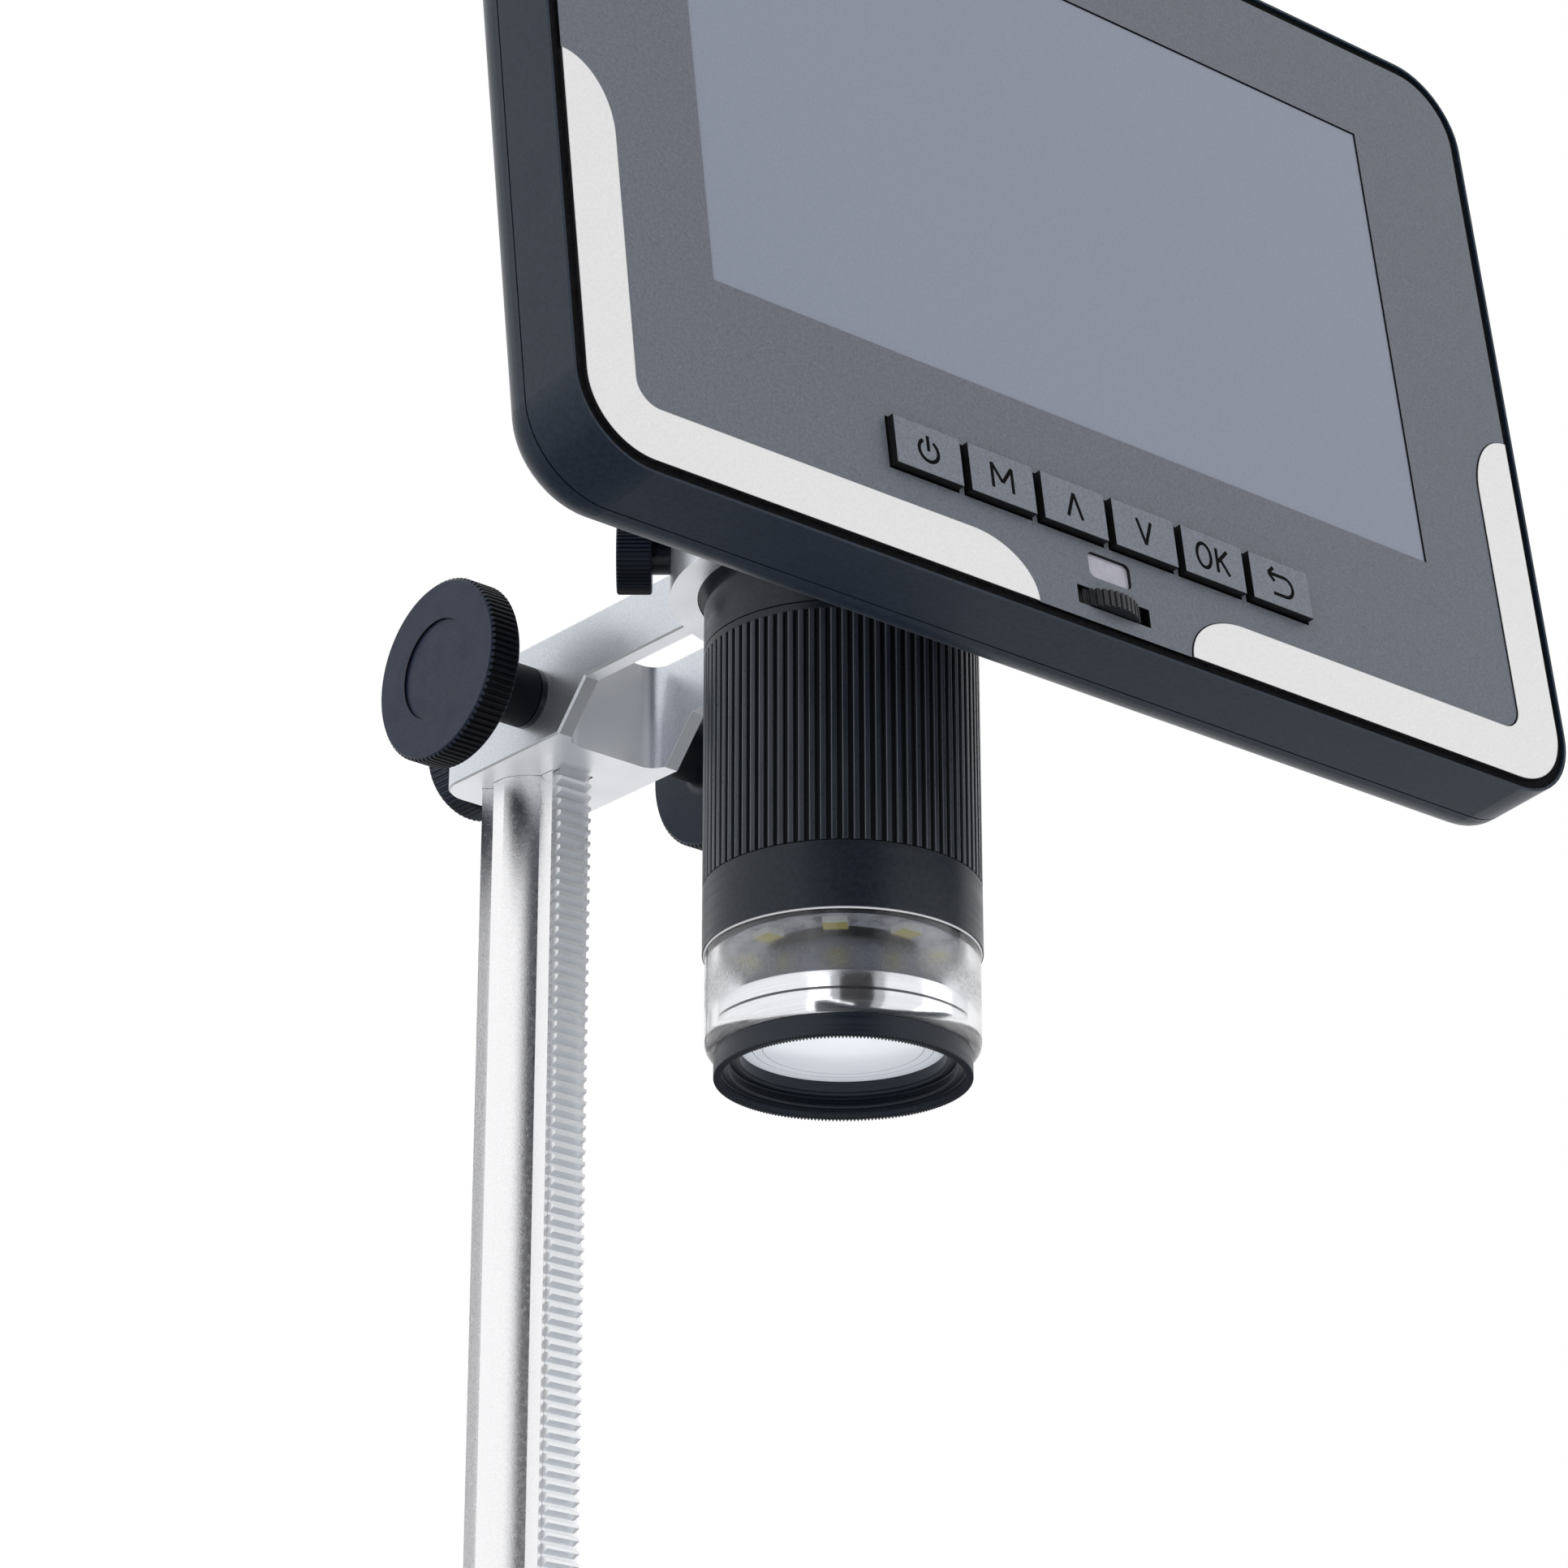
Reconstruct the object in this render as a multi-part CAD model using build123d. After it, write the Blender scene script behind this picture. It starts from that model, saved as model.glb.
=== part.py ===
from build123d import *
import math
import os

# Desk microscope with a display head. Millimetres, +Z up, the desk is z = 0.
# The origin is the middle of the base on the desk. The user stands at -Y.

# ---------------------------------------------------------------- driving dimensions

# Base
BASE_WIDTH = 200.0
BASE_DEPTH = 150.0
BASE_THICKNESS = 10.0
BASE_CORNER = 14.0
BASE_EDGE = 2.0
FOOT_RADIUS = 9.0
FOOT_STANDS_OUT = 3.0
FOOT_RECESS = 1.5
FOOT_INSET = 20.0
MAT_GAP = 3.0
MAT_THICKNESS = 2.5
MAT_RECESS = 1.5
MAT_CORNER = 3.0

# Column section, measured from the column's axis; the rack side faces the user
COLUMN_INSET = 33.0
COLUMN_HALF_WIDTH = 6.0
COLUMN_REAR = 6.2
COLUMN_SHOULDER = 4.9
COLUMN_CHAMFER = 3.5
COLUMN_BULGE = 0.45
REAR_CHAMFER_X = 2.6
REAR_CHAMFER_Y = 3.0
BOSS_HALF_WIDTH = 2.9
BOSS_FRONT = 7.4
GUIDE_GROOVE_Y = 2.0
GUIDE_GROOVE_DEPTH = 1.4
GUIDE_GROOVE_HALF = 1.2
COLUMN_FIT = 0.06
COLLAR_RADIUS = 15.0
COLLAR_HEIGHT = 12.0
COLUMN_BOLT_RADIUS = 3.0
COLUMN_BOLT_HEAD_RADIUS = 5.0
COLUMN_BOLT_HEAD = 5.0
COLUMN_BOLT_DEPTH = 22.0
CAP_RADIUS = 7.0
CAP_THICKNESS = 2.0
CAP_GAP = 0.5
CAP_PLUG_RADIUS = 2.0
CAP_PLUG_DEPTH = 8.0

# Rack and pinion
MODULE = 0.5
PRESSURE_ANGLE = 20.0
PINION_TEETH = 12
MESH_CLEARANCE = 0.05
HOB_STEPS = 15
RACK_WIDTH = 4.8
RACK_TIP = 8.6
RACK_SEAT_DEPTH = 1.0
RACK_SIDE_GAP = 0.2
PINION_WIDTH = 5.0
PINION_POCKET_GAP = 0.15
SHAFT_RADIUS = 2.0
SHAFT_FIT = 0.05

# Arm bracket, heights measured from the lens end of the barrel
LENS_HEIGHT = 204.0
REACH = 60.0
ARM_HALF_WIDTH = 9.65
ARM_WALL = 2.2
ARM_BOTTOM = 60.4
ARM_TOP = 68.4
BLOCK_BOTTOM = 54.45
BLOCK_FRONT = 15.4
BLOCK_REAR = 8.2
BLOCK_CORNER = 4.0
CHEEK_FOOT = 17.2
CHEEK_TIP = 22.5
WINDOW_FILLET = 2.5
ARM_EDGE = 0.25
RING_RADIUS = 20.5
RING_TOP = 71.2
WASHER_THICKNESS = 0.8

# Focus knobs
PINION_HEIGHT = 61.1
KNOB_RADIUS = 11.8
KNOB_THICKNESS = 4.4
KNOB_FACE_X = 24.2
KNOB_RIBS = 88
KNOB_RIB_DEPTH = 0.3
KNOB_HUB_RADIUS = 3.9
KNOB_HUB_FILLET = 1.6
KNOB_CHAMFER = 0.4
BUSH_RADIUS = 3.9
BUSH_SEAT_RADIUS = 3.0
BUSH_OUT = 0.8
HUB_GAP = 0.2
CAP_DISC_RADIUS = 6.5
CAP_DISC_THICKNESS = 0.9
CAP_DISC_SINK = 0.3
CAP_DISC_FIT = 0.05
KNOB_SCREW_RADIUS = 1.2
KNOB_SCREW_HEAD_RADIUS = 2.3
KNOB_SCREW_HEAD = 1.6
KNOB_SCREW_LENGTH = 8.0
KNOB_FLOOR = 1.0

# Column lock
LOCK_HEIGHT = 62.0
LOCK_KNOB_RADIUS = 7.0
LOCK_KNOB_THICKNESS = 4.2
LOCK_KNOB_GAP = 1.8
LOCK_SCREW_RADIUS = 2.0
LOCK_RIBS = 56

# Ring thumbscrew, pointing at the barrel from the left rear
THUMB_ANGLE = 140.0
THUMB_HEIGHT = 65.9
THUMB_KNOB_RADIUS = 4.4
THUMB_KNOB_LENGTH = 4.2
THUMB_KNOB_OUT = 2.2
THUMB_SCREW_RADIUS = 2.0
THUMB_RIBS = 52
SCREW_FIT = 0.08
SMALL_RIB_DEPTH = 0.2

# Barrel radii and heights above the lens end
BARREL_RADIUS = 16.4
FOCUS_RIBS = 80
FOCUS_RIB_DEPTH = 0.4
FOCUS_RIB_END = 0.9
FILTER_RADIUS = 15.0
FILTER_HEIGHT = 2.5
FILTER_MOUTH = 14.2
FILTER_SKIRT = 0.45
FILTER_THREAD = 13.3
FILTER_LIP = 12.2
FILTER_STEP_1 = 0.75
FILTER_STEP_2 = 1.9
SPIGOT_CLEARANCE = 0.05
SPIGOT_WALL = 0.2
SPIGOT_FOOT = 2.3
HOOD_RADIUS = 16.07
HOOD_WALL = 1.57
HOOD_TOP = 14.8
HOOD_ROUND = 1.5
CELL_RADIUS = 14.4
CELL_TOP = 7.6
CELL_LEDGE = 12.2
CELL_GROOVE_HEIGHT = 5.5
CELL_GROOVE = 0.3
GLASS_RADIUS = 12.8
GLASS_BOTTOM = 3.6
GLASS_THICKNESS = 1.6
SNOOT_TOP = 13.9
SNOOT_TOP_RADIUS = 8.4
SNOOT_WALL = 1.0
LOWER_SLEEVE_TOP = 22.85
FOCUS_BOTTOM = 23.0
FOCUS_TOP = 52.9
BARREL_SLEEVE_BOTTOM = 53.05
BARREL_TOP = 58.7
TUBE_RADIUS = 14.95
TUBE_WALL = 1.45
TUBE_TOP = 70.0
FOCUS_FIT = 0.05
NECK_RADIUS = 17.12
NECK_FIT = 0.08
NECK_BOTTOM = 60.5
NECK_REVEAL_RADIUS = 15.9
NECK_FLANGE_RADIUS = 20.0
NECK_FLANGE = 2.5
CARRIER_LENGTH = 18.0
CARRIER_MIDDLE = 37.0
CARRIER_WALL = 3.4
CARRIER_FIT = 0.08
CARRIER_TRAVEL = 2.0
LENS_THICKNESS = 3.0
LENS_SINK = 1.5
PIN_RADIUS = 1.0
PIN_REACH = 15.35
PIN_CLEARANCE = 0.1
PIN_ANGLE = 90.0
LED_BOARD_THICKNESS = 1.2
LED_BOARD_BOTTOM = 15.0
LED_BOARD_HOLE = 8.9
LED_COUNT = 8
LED_CIRCLE = 11.0
LED_LENGTH = 2.8
LED_WIDTH = 2.2
LED_HEIGHT = 0.8
SENSOR_BOARD_THICKNESS = 1.6
SENSOR_SIZE = 9.0
SENSOR_HEIGHT = 1.4

# Display head, in the tilted frame of the face: x, depth behind the face, height over the IR window
TILT = 7.5
FACE_AHEAD = 46.2
FACE_HEIGHT = 47.76
DISPLAY_WIDTH = 152.2
DISPLAY_BELOW = 9.3
DISPLAY_ABOVE = 97.4
DISPLAY_CORNER = 10.0
DISPLAY_DEPTH = 13.3
DISPLAY_ROUND = 4.0
CASE_WALL = 1.6
SEAM_DEPTH = 8.3
SEAM_GAP = 0.2
TONGUE_WALL = 0.8
TONGUE_LENGTH = 1.2
TONGUE_GAP = 0.1
TONGUE_ROOT = 0.4
RIM = 0.35
PANEL_INSET = 1.6
PANEL_THICKNESS = 1.4
WEB_THICKNESS = 1.6
TRIM_WIDTH = 6.65
TRIM_INNER_CORNER = 3.0
TRIM_END_X = 11.8
TRIM_END_LENGTH = 9.1
TRIM_TOP_MARGIN = 55.4
TRIM_GAP = 0.12
TRIM_PROUD = 0.15
LCD_SIDE_MARGIN = 20.6
LCD_TOP_MARGIN = 15.25
LCD_BOTTOM = 18.95
LCD_SINK = 0.2
LCD_GAP = 0.1
MODULE_MARGIN = 4.0
MODULE_THICKNESS = 4.0
KEY_COUNT = 6
KEY_PITCH = 10.92
KEY_WIDTH = 9.7
KEY_HEIGHT = 6.2
KEY_MIDDLE = 6.2
KEY_PROUD = 1.1
KEY_GAP = 0.25
KEY_FLANGE = 1.0
KEY_FLANGE_THICKNESS = 0.6
KEY_TRAVEL = 0.5
KEY_SLACK = 0.05
SWITCH_SIZE = 4.5
SWITCH_HEIGHT = 1.5
PLUNGER_RADIUS = 1.2
PLUNGER_HEIGHT = 0.7
KEY_BOARD_THICKNESS = 1.2
KEY_BOARD_OVERHANG = 6.0
POST_RADIUS = 2.0
IR_WIDTH = 6.5
IR_HEIGHT = 3.3
IR_SINK = 0.4
IR_CORNER = 0.8
WHEEL_RADIUS = 6.3
WHEEL_PROUD = 1.45
WHEEL_WIDTH = 2.1
WHEEL_MIDDLE = -4.62
WHEEL_RIBS = 48
WHEEL_RIB_DEPTH = 0.25
WHEEL_BORE_FIT = 0.06
WHEEL_PIN_RADIUS = 1.0
SLOT_WIDTH = 11.1
SLOT_HEIGHT = 2.4
WHEEL_ROOM = 0.4
POT_HALF_WIDTH = 5.0
POT_GAP = 0.1
BOARD_THICKNESS = 1.6
BOARD_LEFT_MARGIN = 26.1
BOARD_RIGHT_MARGIN = 10.1
BOARD_BOTTOM = 18.0
BOARD_TOP_MARGIN = 27.4
BATTERY_SIDE_MARGIN = 23.0
BATTERY_END_MARGIN = 7.0
BATTERY_THICKNESS = 3.0
JACK_TOP_MARGIN = 52.4
JACK_HEIGHT = 8.0
JACK_LENGTH = 11.0
JACK_HOLE = 1.7
JACK_RELIEF = 0.6
JACK_FLOOR = 2.0
CASE_SCREW_SIDE = 10.1
CASE_SCREW_END = 9.4
CASE_POST_RADIUS = 2.8
CASE_SCREW_RADIUS = 1.0
CASE_SCREW_HEAD_RADIUS = 2.2
CASE_SCREW_HEAD = 1.1
CASE_SCREW_FIT = 0.1
CASE_SCREW_LENGTH = 8.0

# Camera hump behind the display, over the clamp ring
HUMP_HALF_WIDTH = 23.0
HUMP_REAR = 22.5
HUMP_HEIGHT = 44.0
HUMP_CORNER = 12.0
HUMP_EDGE = 4.0
HUMP_WALL = 2.0

# ---------------------------------------------------------------- worked-out places

BASE_TOP = FOOT_STANDS_OUT + BASE_THICKNESS
COLUMN_Y = BASE_DEPTH / 2 - COLUMN_INSET
MAT_SIZE = 2 * (REACH - COLLAR_RADIUS - MAT_GAP)
BARREL_Y = COLUMN_Y - REACH
COLUMN_TOP = LENS_HEIGHT + ARM_TOP + CAP_GAP
PITCH = math.pi * MODULE
PITCH_RADIUS = MODULE * PINION_TEETH / 2
DEDENDUM = 1.25 * MODULE
SLOPE = math.tan(math.radians(PRESSURE_ANGLE))
PINION_Y = COLUMN_Y - RACK_TIP + MODULE - PITCH_RADIUS
PINION_Z = LENS_HEIGHT + PINION_HEIGHT
KNOB_CAP_FLOOR = KNOB_FACE_X - CAP_DISC_SINK - CAP_DISC_THICKNESS
SHAFT_END = KNOB_CAP_FLOOR - KNOB_SCREW_HEAD - KNOB_FLOOR
TONGUE_FRONT = SEAM_DEPTH + SEAM_GAP / 2 - TONGUE_LENGTH
HUMP_BOTTOM = RING_TOP + WASHER_THICKNESS
WEB_FRONT = PANEL_THICKNESS
WEB_REAR = WEB_FRONT + WEB_THICKNESS
MODULE_REAR = WEB_REAR + MODULE_THICKNESS
KEY_FLANGE_FRONT = WEB_REAR + KEY_SLACK
KEY_REAR = KEY_FLANGE_FRONT + KEY_FLANGE_THICKNESS
KEY_BOARD_FRONT = KEY_REAR + KEY_TRAVEL + KEY_SLACK + PLUNGER_HEIGHT + SWITCH_HEIGHT
BACK_INSIDE = DISPLAY_DEPTH - CASE_WALL
WHEEL_DEPTH = WHEEL_RADIUS - WHEEL_PROUD
LCD_WIDTH = DISPLAY_WIDTH - 2 * LCD_SIDE_MARGIN
LCD_HEIGHT = DISPLAY_ABOVE - LCD_TOP_MARGIN - LCD_BOTTOM
KEY_NAMES = ["power", "menu", "up", "down", "ok", "back"]

UP = (Align.CENTER, Align.CENTER, Align.MIN)


# ---------------------------------------------------------------- helpers

def disc(radius, z0, z1):
    """Cylinder about Z between two heights."""
    return Pos(0, 0, z0) * Cylinder(radius, z1 - z0, align=UP)


def ring(outer, inner, z0, z1):
    """Plain ring about Z between two heights."""
    return disc(outer, z0, z1) - disc(inner, z0, z1)


def block(x0, x1, y0, y1, z0, z1):
    """Box given by its limits."""
    middle = Pos((x0 + x1) / 2, (y0 + y1) / 2, (z0 + z1) / 2)
    return middle * Box(x1 - x0, y1 - y0, z1 - z0)


def turned(points):
    """Solid of revolution about Z from (radius, height) points."""
    profile = make_face(Polyline([(r, 0, z) for r, z in points], close=True))
    return revolve(profile, Axis.Z)


def ribbed(radius, depth, count):
    """Disc outline with flat-topped ribs, as a sketch."""
    step = 2 * math.pi / count
    points = []
    for i in range(count):
        for part, r in ((0.0, radius), (0.45, radius), (0.6, radius - depth), (0.85, radius - depth)):
            angle = (i + part) * step
            points.append((r * math.cos(angle), r * math.sin(angle)))
    return make_face(Polyline(points, close=True))


def rib_disc(radius, depth, count, z0, z1):
    """Ribbed disc about Z between two heights."""
    return Pos(0, 0, z0) * extrude(ribbed(radius, depth, count), z1 - z0)


def chamfered_disc(radius, edge, z0, z1):
    """Disc with both rims chamfered, to cut the rims of a ribbed disc."""
    solid = disc(radius, z0, z1)
    return chamfer(solid.edges().filter_by(GeomType.CIRCLE), edge)


def on_barrel(shape):
    """From the barrel's frame, z = 0 at the lens end, to the part's frame."""
    return Pos(0, BARREL_Y, LENS_HEIGHT) * shape


def on_display(shape):
    """From the face's frame to the part's frame."""
    return Pos(0, BARREL_Y - FACE_AHEAD, LENS_HEIGHT + FACE_HEIGHT) * Rot(-TILT, 0, 0) * shape


def along_x(shape, x, y, z):
    """Turn a shape made about Z so that its Z runs along +X and its X along +Y."""
    return Plane(origin=(x, y, z), x_dir=(0, 1, 0), z_dir=(1, 0, 0)) * shape


def slab(sketch, front, rear):
    """Extrude a face-frame sketch (x, height) between two depths."""
    return extrude(Plane.XZ.offset(-front) * sketch, -(rear - front))


def outline(inset):
    """Rounded outline of the display, inset all round."""
    width = DISPLAY_WIDTH - 2 * inset
    height = DISPLAY_ABOVE + DISPLAY_BELOW - 2 * inset
    middle = (DISPLAY_ABOVE - DISPLAY_BELOW) / 2
    return Pos(0, middle) * RectangleRounded(width, height, max(DISPLAY_CORNER - inset, 0.5))


def window(width, height, bottom, grow=0.0):
    """Rectangle centred on x with a given lower edge."""
    return Pos(0, bottom + height / 2) * Rectangle(width + 2 * grow, height + 2 * grow)


# ---------------------------------------------------------------- stand

def foot_places():
    x = BASE_WIDTH / 2 - FOOT_INSET
    y = BASE_DEPTH / 2 - FOOT_INSET
    return [(x, y), (-x, y), (x, -y), (-x, -y)]


def base_plate():
    """Heavy plate with a mat pocket, foot recesses and the column bolt's hole."""
    bottom = FOOT_STANDS_OUT
    plate = Pos(0, 0, bottom) * extrude(RectangleRounded(BASE_WIDTH, BASE_DEPTH, BASE_CORNER), BASE_THICKNESS)
    plate = fillet(plate.faces().sort_by(Axis.Z)[-1].edges(), BASE_EDGE)
    pocket = extrude(RectangleRounded(MAT_SIZE, MAT_SIZE, MAT_CORNER), MAT_RECESS)
    plate -= Pos(0, BARREL_Y, BASE_TOP - MAT_RECESS) * pocket
    for x, y in foot_places():
        plate -= Pos(x, y) * disc(FOOT_RADIUS, bottom, bottom + FOOT_RECESS)
    plate -= Pos(0, COLUMN_Y) * disc(COLUMN_BOLT_RADIUS, bottom, BASE_TOP)
    plate -= Pos(0, COLUMN_Y) * disc(COLUMN_BOLT_HEAD_RADIUS, bottom, bottom + COLUMN_BOLT_HEAD)
    return plate


def base_feet():
    foot = disc(FOOT_RADIUS, 0, FOOT_STANDS_OUT + FOOT_RECESS)
    return [Pos(x, y) * foot for x, y in foot_places()]


def work_mat():
    """Specimen mat under the lens."""
    mat = extrude(RectangleRounded(MAT_SIZE, MAT_SIZE, MAT_CORNER), MAT_THICKNESS)
    return Pos(0, BARREL_Y, BASE_TOP - MAT_RECESS) * mat


def column_section(grow=0.0):
    """Closed section of the column about its axis; grow widens it for a sliding fit."""
    shoulder = (BOSS_HALF_WIDTH, -COLUMN_SHOULDER)
    cheek = (COLUMN_HALF_WIDTH, COLUMN_CHAMFER - COLUMN_SHOULDER)
    rear = [
        (COLUMN_HALF_WIDTH, GUIDE_GROOVE_Y - GUIDE_GROOVE_HALF),
        (COLUMN_HALF_WIDTH - GUIDE_GROOVE_DEPTH, GUIDE_GROOVE_Y),
        (COLUMN_HALF_WIDTH, GUIDE_GROOVE_Y + GUIDE_GROOVE_HALF),
        (COLUMN_HALF_WIDTH - REAR_CHAMFER_X, COLUMN_REAR),
    ]
    round_corner = SagittaArc(shoulder, cheek, -COLUMN_BULGE)
    right = [Line((BOSS_HALF_WIDTH, -BOSS_FRONT), shoulder), round_corner, Polyline([cheek] + rear)]
    left = [mirror(edge, about=Plane.YZ) for edge in right]
    front = Line((-BOSS_HALF_WIDTH, -BOSS_FRONT), (BOSS_HALF_WIDTH, -BOSS_FRONT))
    back = Line(rear[-1], (-rear[-1][0], rear[-1][1]))
    section = make_face(right + left + [front, back])
    return offset(section, grow, kind=Kind.INTERSECTION) if grow else section


def column():
    """Extruded column with the rack's seat in its front boss."""
    body = Pos(0, COLUMN_Y, BASE_TOP) * extrude(column_section(), COLUMN_TOP - BASE_TOP)
    front = COLUMN_Y - BOSS_FRONT
    half = RACK_WIDTH / 2
    body -= block(-half, half, front, front + RACK_SEAT_DEPTH, BASE_TOP + COLLAR_HEIGHT, COLUMN_TOP)
    body -= Pos(0, COLUMN_Y) * disc(COLUMN_BOLT_RADIUS, BASE_TOP, BASE_TOP + COLUMN_BOLT_DEPTH)
    return body - Pos(0, COLUMN_Y) * disc(CAP_PLUG_RADIUS, COLUMN_TOP - CAP_PLUG_DEPTH, COLUMN_TOP)


def column_collar():
    """Round collar that holds the column's foot on the base."""
    collar = Pos(0, COLUMN_Y) * disc(COLLAR_RADIUS, BASE_TOP, BASE_TOP + COLLAR_HEIGHT)
    collar = chamfer(collar.faces().sort_by(Axis.Z)[-1].edges(), 1.5)
    return collar - Pos(0, COLUMN_Y, BASE_TOP) * extrude(column_section(), COLLAR_HEIGHT)


def column_bolt():
    """Bolt from under the base into the column."""
    bottom = FOOT_STANDS_OUT
    bolt = disc(COLUMN_BOLT_HEAD_RADIUS, bottom, bottom + COLUMN_BOLT_HEAD)
    bolt += disc(COLUMN_BOLT_RADIUS, bottom, BASE_TOP + COLUMN_BOLT_DEPTH)
    return Pos(0, COLUMN_Y) * bolt


def column_cap():
    """End stop pushed into the top of the column."""
    cap = disc(CAP_RADIUS, COLUMN_TOP, COLUMN_TOP + CAP_THICKNESS)
    cap += disc(CAP_PLUG_RADIUS, COLUMN_TOP - CAP_PLUG_DEPTH, COLUMN_TOP)
    return Pos(0, COLUMN_Y) * cap


def rack():
    """Straight rack whose teeth face the user; one tooth is centred on the pinion at rest."""
    bottom = BASE_TOP + COLLAR_HEIGHT
    tip = COLUMN_Y - RACK_TIP
    root = tip + MODULE + DEDENDUM
    back = COLUMN_Y - BOSS_FRONT + RACK_SEAT_DEPTH
    tip_half = PITCH / 4 - MODULE * SLOPE
    root_half = PITCH / 4 + DEDENDUM * SLOPE
    lowest = -int((PINION_Z - bottom) / PITCH - 0.5)
    highest = int((COLUMN_TOP - PINION_Z) / PITCH - 0.5)
    points = [(0, back, COLUMN_TOP), (0, back, bottom), (0, root, bottom)]
    for k in range(lowest, highest + 1):
        z = PINION_Z + k * PITCH
        points += [(0, root, z - root_half), (0, tip, z - tip_half)]
        points += [(0, tip, z + tip_half), (0, root, z + root_half)]
    points.append((0, root, COLUMN_TOP))
    profile = make_face(Polyline(points, close=True))
    return extrude(profile, RACK_WIDTH / 2, dir=(1, 0, 0), both=True)


# ---------------------------------------------------------------- carriage

def arm_bracket():
    """Machined arm: a block round the column, two side bars and the clamp ring."""
    front = COLUMN_Y - BLOCK_FRONT
    rear = COLUMN_Y + BLOCK_REAR
    side = [
        (0, rear, BLOCK_BOTTOM),
        (0, COLUMN_Y - CHEEK_FOOT, BLOCK_BOTTOM),
        (0, COLUMN_Y - CHEEK_TIP, ARM_BOTTOM),
        (0, BARREL_Y, ARM_BOTTOM),
        (0, BARREL_Y, ARM_TOP),
        (0, rear, ARM_TOP),
    ]
    arm = extrude(make_face(Polyline(side, close=True)), ARM_HALF_WIDTH, dir=(1, 0, 0), both=True)
    rear_edges = arm.edges().filter_by(Axis.Z).group_by(Axis.Y)[-1]
    arm = fillet(rear_edges, BLOCK_CORNER)
    sides = arm.faces().filter_by(Axis.X)
    arm = chamfer(sides[0].edges() + sides[1].edges(), ARM_EDGE)
    inside = ARM_HALF_WIDTH - ARM_WALL
    gap = block(-inside, inside, BARREL_Y, front, BLOCK_BOTTOM, ARM_TOP)
    arm -= fillet(gap.edges().filter_by(Axis.Z).group_by(Axis.Y)[-1], WINDOW_FILLET)
    clamp = Pos(0, BARREL_Y) * disc(RING_RADIUS, ARM_BOTTOM, RING_TOP)
    arm += clamp
    arm -= Pos(0, BARREL_Y) * disc(NECK_RADIUS + NECK_FIT, ARM_BOTTOM, RING_TOP)
    arm = Pos(0, 0, LENS_HEIGHT) * arm
    bottom = LENS_HEIGHT + BLOCK_BOTTOM
    height = ARM_TOP - BLOCK_BOTTOM
    arm -= Pos(0, COLUMN_Y, bottom) * extrude(column_section(COLUMN_FIT), height)
    half = RACK_WIDTH / 2 + RACK_SIDE_GAP
    slot_front = COLUMN_Y - RACK_TIP - RACK_SIDE_GAP
    arm -= block(-half, half, slot_front, COLUMN_Y, bottom, bottom + height)
    pocket = PITCH_RADIUS + MODULE + PINION_POCKET_GAP
    pocket_half = PINION_WIDTH / 2 + RACK_SIDE_GAP
    arm -= along_x(disc(pocket, -pocket_half, pocket_half), 0, PINION_Y, PINION_Z)
    arm -= block(-pocket_half, pocket_half, PINION_Y, COLUMN_Y - RACK_TIP, PINION_Z - pocket, PINION_Z + pocket)
    arm -= along_x(disc(BUSH_SEAT_RADIUS, -ARM_HALF_WIDTH, ARM_HALF_WIDTH), 0, PINION_Y, PINION_Z)
    lock_bore = disc(LOCK_SCREW_RADIUS + SCREW_FIT, 0, BLOCK_REAR)
    arm -= Pos(0, COLUMN_Y, LENS_HEIGHT + LOCK_HEIGHT) * Rot(-90, 0, 0) * lock_bore
    thumb_bore = disc(THUMB_SCREW_RADIUS + SCREW_FIT, 0, RING_RADIUS)
    return arm - thumb_place(thumb_bore)


def thumb_place(shape):
    """Lay a shape made about Z along the ring thumbscrew, z = 0 on the barrel's axis."""
    return Pos(0, BARREL_Y, LENS_HEIGHT + THUMB_HEIGHT) * Rot(0, 0, THUMB_ANGLE) * Rot(0, 90, 0) * shape


def pinion_bushes():
    """Two flanged bushes for the pinion shaft, one in each cheek."""
    inner = PINION_WIDTH / 2 + RACK_SIDE_GAP
    bush = disc(BUSH_SEAT_RADIUS, inner, ARM_HALF_WIDTH)
    bush += disc(BUSH_RADIUS, ARM_HALF_WIDTH, ARM_HALF_WIDTH + BUSH_OUT)
    bush -= disc(SHAFT_RADIUS + SHAFT_FIT, inner, ARM_HALF_WIDTH + BUSH_OUT)
    right = along_x(bush, 0, PINION_Y, PINION_Z)
    return [right, mirror(right, Plane.YZ)]


def swivel_washer():
    """Nylon washer on the clamp ring, under the camera hump."""
    washer = ring(RING_RADIUS, NECK_RADIUS + NECK_FIT, RING_TOP, RING_TOP + WASHER_THICKNESS)
    return on_barrel(washer)


# ---------------------------------------------------------------- pinion and knobs

def pinion_outline():
    """Pinion outline cut by a rolling rack tooth, so that it meshes at every angle."""
    reach = PITCH_RADIUS - MODULE - MESH_CLEARANCE
    far = PITCH_RADIUS + 1.5 * MODULE
    half_tip = PITCH / 4 - (PITCH_RADIUS - reach) * SLOPE + MESH_CLEARANCE
    half_far = PITCH / 4 + (far - PITCH_RADIUS) * SLOPE + MESH_CLEARANCE
    limit = math.acos(reach / (PITCH_RADIUS + MODULE))
    gap = Sketch()
    for i in range(HOB_STEPS):
        angle = limit * (2 * i / (HOB_STEPS - 1) - 1)
        shift = PITCH_RADIUS * angle
        tooth = Polygon(
            (reach, shift - half_tip),
            (far, shift - half_far),
            (far, shift + half_far),
            (reach, shift + half_tip),
            align=None,
        )
        gap += Rot(0, 0, -math.degrees(angle)) * tooth
    gear = Circle(PITCH_RADIUS + MODULE)
    for i in range(PINION_TEETH):
        gear -= Rot(0, 0, i * 360 / PINION_TEETH) * gap
    return gear


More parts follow.
